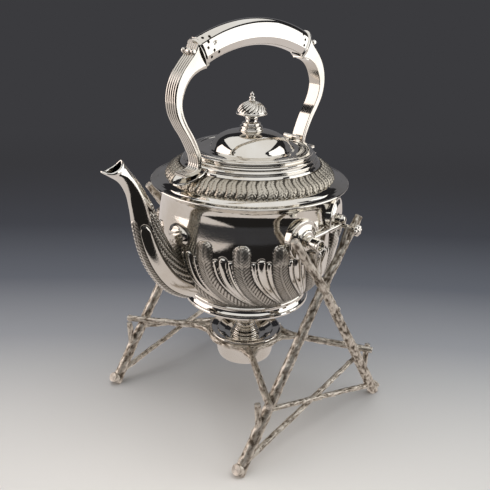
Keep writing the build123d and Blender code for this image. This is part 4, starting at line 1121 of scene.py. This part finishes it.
def barkTree():
    tree, start, end = newTree("barkBranch", [("Step", "Float", 0.0015), ("Sides", "Int", 24),
        ("Ridge height", "Float", 0.0006), ("Wander", "Float", 0.0005), ("Knots", "Float", 2000.0),
        ("Seed", "Int", 3), ("Finish", "Material", None)])
    curve = addNode(tree, "MeshToCurve", {0: start})
    spaced = addNode(tree, "ResampleCurve", {"Curve": curve, "Length": start.outputs["Step"]}, mode="LENGTH")
    where = addNode(tree, "InputPosition")
    drift = addNode(tree, "TexNoise", {"Vector": where, "Scale": 42.0, "Detail": 1.0})   # 24 mm bends
    centred = addNode(tree, "VectorMath", {0: drift.outputs[1], 1: (0.5, 0.5, 0.5)}, operation="SUBTRACT")
    offset = addNode(tree, "VectorMath", {0: centred, "Scale": start.outputs["Wander"]}, operation="SCALE")
    bent = addNode(tree, "SetPosition", {"Geometry": spaced, "Offset": offset})
    spline = addNode(tree, "SplineParameter")
    held = addNode(tree, "CaptureAttribute")
    held.capture_items.new("FLOAT", "along")
    feed(tree, held, {0: bent, 1: spline.outputs["Length"]})
    ring = addNode(tree, "CurvePrimitiveCircle", {"Resolution": start.outputs["Sides"], "Radius": 1.0})
    heldRing = addNode(tree, "CaptureAttribute")
    heldRing.capture_items.new("FLOAT", "around")
    feed(tree, heldRing, {0: ring, 1: spline.outputs["Factor"]})
    thick = addNode(tree, "InputNamedAttribute", {"Name": "thickness"}, data_type="FLOAT")
    skin = addNode(tree, "CurveToMesh", {"Curve": held, "Profile Curve": heldRing, "Scale": thick,
        "Fill Caps": True})
    # bark runs in long ridges: the pattern is wrapped on the branch and drawn out along it
    turnAngle = addNode(tree, "Math", {0: heldRing.outputs[1], 1: 2 * math.pi}, operation="MULTIPLY")
    cosine = addNode(tree, "Math", {0: turnAngle}, operation="COSINE")
    sine = addNode(tree, "Math", {0: turnAngle}, operation="SINE")
    drawn = addNode(tree, "Math", {0: held.outputs[1], 1: 75.0}, operation="MULTIPLY")    # 13 mm runs
    strand = addNode(tree, "InputNamedAttribute", {"Name": "strand"}, data_type="FLOAT")
    wrapped = addNode(tree, "CombineXYZ", {0: cosine, 1: sine, 2: drawn})
    coarse = addNode(tree, "TexNoise", {"Vector": wrapped, "W": strand, "Scale": 1.9, "Detail": 3.0,
        "Roughness": 0.6}, noise_dimensions="4D")
    ridged = addNode(tree, "MapRange", {"Value": coarse, "From Min": 0.36, "From Max": 0.64})
    lumps = addNode(tree, "TexNoise", {"Vector": where, "Scale": 260.0})   # 4 mm
    lumped = addNode(tree, "Math", {0: lumps, 1: 1.5, 2: -0.75}, operation="MULTIPLY_ADD")
    level = addNode(tree, "Math", {0: ridged, 1: lumped}, operation="ADD")
    sunk = addNode(tree, "Math", {0: level, 1: 0.55}, operation="SUBTRACT")
    rise = addNode(tree, "Math", {0: sunk, 1: start.outputs["Ridge height"]}, operation="MULTIPLY")
    normal = addNode(tree, "InputNormal")
    push = addNode(tree, "VectorMath", {0: normal, "Scale": rise}, operation="SCALE")
    marked = addNode(tree, "StoreNamedAttribute", {"Geometry": skin, "Name": "ridge", "Value": level},
        data_type="FLOAT", domain="POINT")
    rough = addNode(tree, "SetPosition", {"Geometry": marked, "Offset": push})
    # knots and bud scars
    spots = addNode(tree, "DistributePointsOnFaces", {"Mesh": rough, "Distance Min": 0.0075,
        "Density Max": start.outputs["Knots"], "Seed": start.outputs["Seed"]}, distribute_method="POISSON")
    bud = addNode(tree, "MeshIcoSphere", {"Radius": 1.0, "Subdivisions": 2})
    budMarked = addNode(tree, "StoreNamedAttribute", {"Geometry": bud, "Name": "ridge", "Value": 0.75},
        data_type="FLOAT", domain="POINT")
    size = addNode(tree, "RandomValue", {"Min": (0.0007, 0.0008, 0.0005), "Max": (0.0013, 0.0021, 0.0014),
        "Seed": start.outputs["Seed"]}, data_type="FLOAT_VECTOR")
    buds = addNode(tree, "InstanceOnPoints", {"Points": spots, "Instance": budMarked,
        "Rotation": spots.outputs["Rotation"], "Scale": size})
    both = addNode(tree, "JoinGeometry")
    tree.links.new(buds.outputs[0], both.inputs[0])
    tree.links.new(rough.outputs[0], both.inputs[0])
    real = addNode(tree, "RealizeInstances", {0: both})
    # nothing sinks below the table
    parts = addNode(tree, "SeparateXYZ", {0: where})
    lifted = addNode(tree, "Math", {0: parts.outputs[2], 1: 0.0}, operation="MAXIMUM")
    resting = addNode(tree, "CombineXYZ", {0: parts, 1: parts.outputs[1], 2: lifted})
    grounded = addNode(tree, "SetPosition", {"Geometry": real, "Position": resting})
    finish = addNode(tree, "SetMaterial", {"Geometry": grounded, "Material": start.outputs["Finish"]})
    feed(tree, end, {0: finish})
    return tree


def legX(end, z):
    f = standForm
    if z <= f["crossZ"]:
        return end * f["footSpan"] * (1 - z / f["crossZ"])
    return -end * f["topReach"] * (z - f["crossZ"]) / f["topRise"]


def trestleStrands(side):
    f = standForm
    strands, ends = [], []
    for end in (1, -1):
        y = side * (f["trestleY"] + end * f["split"])
        slope = math.atan2(f["crossZ"], f["footSpan"])
        top = (-end * f["topReach"], y, f["crossZ"] + f["topRise"])
        foot = (legX(end, 1.2), y, 1.2)
        strands.append([foot + (4.9,), (legX(end, 60), y, 60, 4.45), (0, y, f["crossZ"], 3.85),
            top + (3.35,)])
        ends.append((top, Vector(top) - Vector((0, y, f["crossZ"])), 3.3))
        heel = Vector((legX(end, 3.8), y, 4.7))
        out = Vector((heel.x + end * f["stub"] * math.sin(slope), y, heel.z + f["stub"] * math.cos(slope)))
        strands.append([tuple(heel - Vector((end * 2.0, 0, 0))) + (4.3,), tuple(out) + (4.5,)])
        ends.append((out, out - heel, 4.55))
        root = (legX(end, f["twigZ"]), y, f["twigZ"])
        tip = (root[0] + end * f["twigLean"], y, f["twigZ"] + f["twigRise"])
        strands.append([root + (2.9,), tip + (2.5,)])
        ends.append((tip, Vector(tip) - Vector(root), 2.5))
        by = side * (f["trestleY"] + end * f["braceSplit"])
        strands.append([(legX(end, f["braceLow"]), by, f["braceLow"], 2.5),
            (legX(-end, f["braceHigh"]), by, f["braceHigh"], 2.1)])
    low = f["crossZ"] + 18.5
    y = side * (f["trestleY"] + f["split"])
    strands.append([(legX(1, low), y, low, 2.7), (-19.2, y, 184.8, 2.2)])
    y = side * (f["trestleY"] - f["split"])
    strands.append([(legX(-1, low + 8), y, low + 8, 2.6), (27.6, y, 193.6, 2.0)])
    # swelling where the two legs cross
    strands.append([(0, side * (f["trestleY"] - 1.4), f["crossZ"] - 6, 4.3),
        (0, side * (f["trestleY"] + 1.4), f["crossZ"] + 5, 4.4)])
    return strands, ends


def cradleStrands():
    f = standForm
    ringPoints = []
    for i in range(49):
        a = 2 * math.pi * i / 48
        ringPoints.append((f["ringR"] * math.cos(a), f["ringR"] * math.sin(a), f["ringZ"], 2.55))
    strands, ends = [ringPoints], []
    for side, word in ((-1, "near"), (1, "far")):
        for end, which in ((-1, "front"), (1, "rear")):
            low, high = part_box("cradle_arm_" + which + "_" + word)
            a = math.radians(f["armAt"])
            start = Vector((end * f["ringR"] * math.cos(a), side * f["ringR"] * math.sin(a), f["ringZ"]))
            tip = Vector(((high.x if end > 0 else low.x) / mm - axisX / mm - end * 1.6,
                (high.y if side > 0 else low.y) / mm - side * 2.2, low.z / mm + 2.9))
            way = (tip - start).normalized()
            strands.append([tuple(start) + (2.9,), tuple(start + way * 14) + (3.1,), tuple(tip) + (2.75,)])
            ends.append((tip, way, 2.8))
            # each arm grows out of the ring in a fork
            for lean in (-1, 1):
                b = math.radians(f["armAt"] + lean * 25)
                root = Vector((end * f["ringR"] * math.cos(b), side * f["ringR"] * math.sin(b), f["ringZ"]))
                strands.append([tuple(root) + (1.9,), tuple(start + way * 4 + (root - start) * 0.45) + (2.3,),
                    tuple(start + way * 17) + (2.4,)])
    return strands, ends


def growBark(name, strands, nodes, seed):
    f = standForm
    points, edges, thickness, strandMarks = [], [], [], []
    for k, strand in enumerate(strands):
        base = len(points)
        closed = len(strand) > 20
        spots = strand[:-1] if closed else strand
        for x, y, z, radius in spots:
            points.append((x * mm + axisX, y * mm, z * mm))
            thickness.append(radius * f["fullness"] * mm)
            strandMarks.append(k * 3.7)
        edges += [(base + i, base + i + 1) for i in range(len(spots) - 1)]
        if closed:
            edges.append((base + len(spots) - 1, base))
    mesh = bpy.data.meshes.new(name)
    mesh.from_pydata(points, edges, [])
    markPoints(mesh, "thickness", thickness)
    markPoints(mesh, "strand", strandMarks)
    result = settle(name, mesh, barkRun, {"Step": f["step"] * mm, "Sides": f["sides"],
        "Ridge height": f["ridge"] * mm, "Wander": f["wander"] * 2 * mm, "Knots": f["knots"], "Seed": seed,
        "Finish": bark})
    dressPiece(name, result, bark, "stand", nodes, sharp=70)
    print("  ", name, len(result.polygons), "faces")


def sawnEnds(name, ends):
    parts, marks = [], []
    for place, way, radius in ends:
        outline = [(0, -1.2), (radius * 0.9, -1.2), (radius * 0.985, -0.2), (radius * 0.96, 0.45),
            (radius * 0.85, 0.62), (radius * 0.55, 0.6), (radius * 0.28, 0.62), (0, 0.62)]
        disc = turn(outline, 28)
        marks += [math.hypot(p[0], p[1]) for p in disc[0]]
        parts.append((moved(disc[0], aim(place, way)), disc[1]))
    points, faces = joined(*parts)
    points[:, 2] = np.maximum(points[:, 2], 0.02)
    makePiece(name, (points, faces), sawn, "stand", marks={"ring": marks},
        sharp=50)


barkRun = barkTree()
allEnds = []
for side, word, seed in ((-1, "Near", 3), (1, "Far", 11)):
    strands, ends = trestleStrands(side)
    low = word.lower()
    growBark("barkTrestle" + word, strands, ("leg_rear_" + low, "leg_front_" + low, "brace_rear_" + low,
        "brace_front_" + low), seed)
    allEnds += ends
strands, ends = cradleStrands()
growBark("barkCradle", strands, ("cradle_ring", "cradle_arm_front_near", "cradle_arm_front_far",
    "cradle_arm_rear_near", "cradle_arm_rear_far"), 5)
sawnEnds("sawnEnds", allEnds + ends)
print("stand grown")


# nodes of the frame that still show take the polished plate
for name in [n for side in ("near", "far") for n in ("rear_lug_" + side, "side_rail_" + side,
        "pin_" + side)] + ["hinge_leaf_lid", "hinge_leaf_neck", "hinge_pin"]:
    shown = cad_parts[name]
    shown.data.materials.clear()
    shown.data.materials.append(polished)


# floor, light and camera
studioForm = {
    # brightAt centres the painted pool of light on the floor, farTone is the painted far glow, frontEdge and
    # leftEdge bound the dark gap in the painted reflection, and wallTone is what the camera sees of the
    # glowing wall
    "forward": (0.7025, 0.7117, 0.0), "right": (0.7117, -0.7025, 0.0), "floorRadius": 9.0, "brightAt": -0.15,
    "farTone": "#3B3B3E", "worldTone": "#28282B", "frontEdge": (-0.245, -0.215),
    "leftEdge": (-0.40, -0.36), "wallTone": "#6C6C70",
    # m: across, ahead and up from the kettle's foot, width, length, watts, tint
    "overhead": (0.0, -0.15, 1.25, 1.90, 2.90, 15.5, "#FFFFFF"),
    "fill": (0.0, 0.10, 1.30, 1.60, 1.80, 11.5, "#FFFFFF"),
    "sideLeft": (-1.00, -0.05, 0.48, 0.95, 0.95, 5.2, "#FFF3EE"),
    "sideRight": (1.00, -0.05, 0.48, 0.95, 0.95, 4.6, "#FFFFFF"),
}


def studioFloor():
    f = studioForm
    rings = [0.0, 0.25, 0.6, 1.2, 2.5, 5.0, f["floorRadius"]]
    points = [(0, 0, 0)] + [(r * math.cos(math.pi * j / 48), r * math.sin(math.pi * j / 48),
        0) for r in rings[1:] for j in range(96)]
    faces = [(0, 1 + j, 1 + (j + 1) % 96) for j in range(96)] + gridFaces(len(rings) - 1, 96, start=1)
    mesh = bpy.data.meshes.new("studioFloor")
    mesh.from_pydata(points, [], faces)
    floor = newObject("studioFloor", mesh)
    material, tree = newMaterial("matFloorPaintedLight")
    place = addNode(tree, "TexCoord").outputs["Object"]
    ahead = addNode(tree, "VectorMath", {0: place, 1: f["forward"]}, operation="DOT_PRODUCT").outputs["Value"]
    aside = addNode(tree, "VectorMath", {0: place, 1: f["right"]}, operation="DOT_PRODUCT").outputs["Value"]
    shifted = addNode(tree, "Math", {0: ahead, 1: f["brightAt"]}, operation="SUBTRACT")
    behind = addNode(tree, "Math", {0: shifted, 1: 0.0}, operation="MAXIMUM")
    front = addNode(tree, "Math", {0: shifted, 1: 0.0}, operation="MINIMUM")
    depth = addNode(tree, "Math", {0: behind, 1: front}, operation="ADD")
    narrow = addNode(tree, "Math", {0: aside, 1: 0.35}, operation="MULTIPLY")
    away = addNode(tree, "CombineXYZ", {0: depth, 1: narrow, 2: 0.0})
    reach = addNode(tree, "VectorMath", {0: away}, operation="LENGTH").outputs["Value"]
    # painted light: the floor's own colour fades from pale near the kettle to dark grey further off, a
    # painted pool of light and its falloff
    ramp = addNode(tree, "ValToRGB", {"Fac": reach})
    stops = ramp.color_ramp
    stops.elements[0].position, stops.elements[0].color = 0.0, toLinear("#E4E1DC")
    stops.elements[1].position, stops.elements[1].color = 1.0, toLinear("#3B3B3E")
    for at, tone in ((0.14, "#BEBDBB"), (0.27, "#8B8D91"), (0.42, "#5B5E65"), (0.62, "#414349")):
        stops.elements.new(at).color = toLinear(tone)
    ends = addNode(tree, "MapRange", {"Value": ahead, "From Min": f["frontEdge"][0],
        "From Max": f["frontEdge"][1], "To Min": 0.02, "To Max": 1.0})
    beside = addNode(tree, "MapRange", {"Value": aside, "From Min": f["leftEdge"][0],
        "From Max": f["leftEdge"][1], "To Min": 1.0, "To Max": 0.0})
    lit = addNode(tree, "Math", {0: ends, 1: beside}, operation="MAXIMUM")
    paperWithPaintedFalloff = addNode(tree, "BsdfDiffuse", {"Color": ramp})
    # painted glow: further off, the floor blends into an emission of the dark far tone, though no lamp is
    # there
    paintedGlow = addNode(tree, "Emission", {"Color": toLinear(f["farTone"])})
    blend = addNode(tree, "MapRange", {"Value": reach, "From Min": 0.45, "From Max": 1.3},
        interpolation_type="SMOOTHSTEP")
    mixed = addNode(tree, "MixShader", {0: blend, 1: paperWithPaintedFalloff, 2: paintedGlow})
    # painted reflection: glossy rays within about 1.1 to 1.6 m see an emission instead of the floor, so the
    # metal mirrors pale boards laid round a dark gap at the front, though no such boards or lamps are there
    paintedReflectionTone = addNode(tree, "Mix", {0: lit, 6: toLinear("#0B0B0C"), 7: toLinear("#E6DEDB")}, data_type="RGBA")
    paintedReflectionBoards = addNode(tree, "Emission", {"Color": paintedReflectionTone.outputs[2], "Strength": 0.85})
    path = addNode(tree, "LightPath")
    nearby = addNode(tree, "VectorMath", {0: place}, operation="LENGTH").outputs["Value"]
    close = addNode(tree, "MapRange", {"Value": nearby, "From Min": 1.1, "From Max": 1.6, "To Min": 1.0,
        "To Max": 0.0})
    mirrored = addNode(tree, "Math", {0: path.outputs["Is Glossy Ray"], 1: close}, operation="MULTIPLY")
    seen = addNode(tree, "MixShader", {0: mirrored, 1: mixed, 2: paintedReflectionBoards})
    addNode(tree, "OutputMaterial", {0: seen})
    mesh.materials.append(material)
    # dark wall far behind, seen only in the flat tops: an emission, not a lamp, that shows the camera a
    # lighter grey and the reflections a darker one, a painted reflection
    forward, right = Vector(f["forward"]), Vector(f["right"])
    wall = bpy.data.meshes.new("studioWall")
    wall.from_pydata([tuple(forward * 4.0 + right * x + Vector((0, 0, z))) for x,
        z in ((-6, 0), (6, 0), (6, 2.2), (-6, 2.2))], [], [(0, 1, 2, 3)])
    grey = bpy.data.materials.new("darkWallPaintedGlow")
    grey.use_nodes = True
    grey.node_tree.nodes.clear()
    path = addNode(grey.node_tree, "LightPath")
    tone = addNode(grey.node_tree, "Mix", {0: path.outputs["Is Camera Ray"], 6: toLinear(f["wallTone"]),
        7: toLinear(f["farTone"])}, data_type="RGBA")
    paintedGlow = addNode(grey.node_tree, "Emission", {"Color": tone.outputs[2]})
    addNode(grey.node_tree, "OutputMaterial", {0: paintedGlow})
    wall.materials.append(grey)
    backing = newObject("studioWall", wall)


def softbox(name):
    f = studioForm
    across, ahead, up, width, height, power, tint = f[name]
    right, forward = Vector(f["right"]), Vector(f["forward"])
    place = Vector((axisX, 0, 0)) + right * across + forward * ahead + Vector((0, 0, up))
    lamp = bpy.data.lights.new(name, "AREA")
    lamp.shape, lamp.size, lamp.size_y = "RECTANGLE", width, height
    lamp.energy, lamp.color = power, toLinear(tint)[:3]
    holder = newObject(name, lamp)
    back = (place - Vector((axisX, 0, 0.2))).normalized()
    side = (forward if up > 1 else Vector((0, 0, 1))).cross(back).normalized()
    holder.matrix_world = Matrix.Translation(place) @ Matrix((side, back.cross(side), back)).transposed(
        ).to_4x4()
    holder.visible_camera = False
    holder.visible_glossy = name != "fill"


def studio():
    f = studioForm
    studioFloor()
    for name in ("overhead", "fill", "sideLeft", "sideRight"):
        softbox(name)
    world = bpy.data.worlds.new("studioDark")
    bpy.context.scene.world = world
    world.use_nodes = True
    world.node_tree.nodes["Background"].inputs[0].default_value = toLinear(f["worldTone"])
    bpy.context.scene.view_settings.view_transform = "Standard"


def placeCamera():
    camera = newObject("camera", bpy.data.cameras.new("camera"))
    forward = Vector((0.6487, 0.6572, -0.3839)).normalized()
    level = forward.cross(Vector((0, 0, 1))).normalized()
    up = level.cross(forward)
    roll = 0.029
    right = level * math.cos(roll) + up * math.sin(roll)
    up = up * math.cos(roll) - level * math.sin(roll)
    turned = Matrix((right, up, -forward)).transposed().to_4x4()
    camera.matrix_world = Matrix.Translation((-402.9 * mm + axisX, -404.7 * mm, 393.7 * mm)) @ turned
    camera.data.lens = 48.64
    camera.data.sensor_width = 36.0
    bpy.context.scene.camera = camera


studio()
placeCamera()
print("studio set")
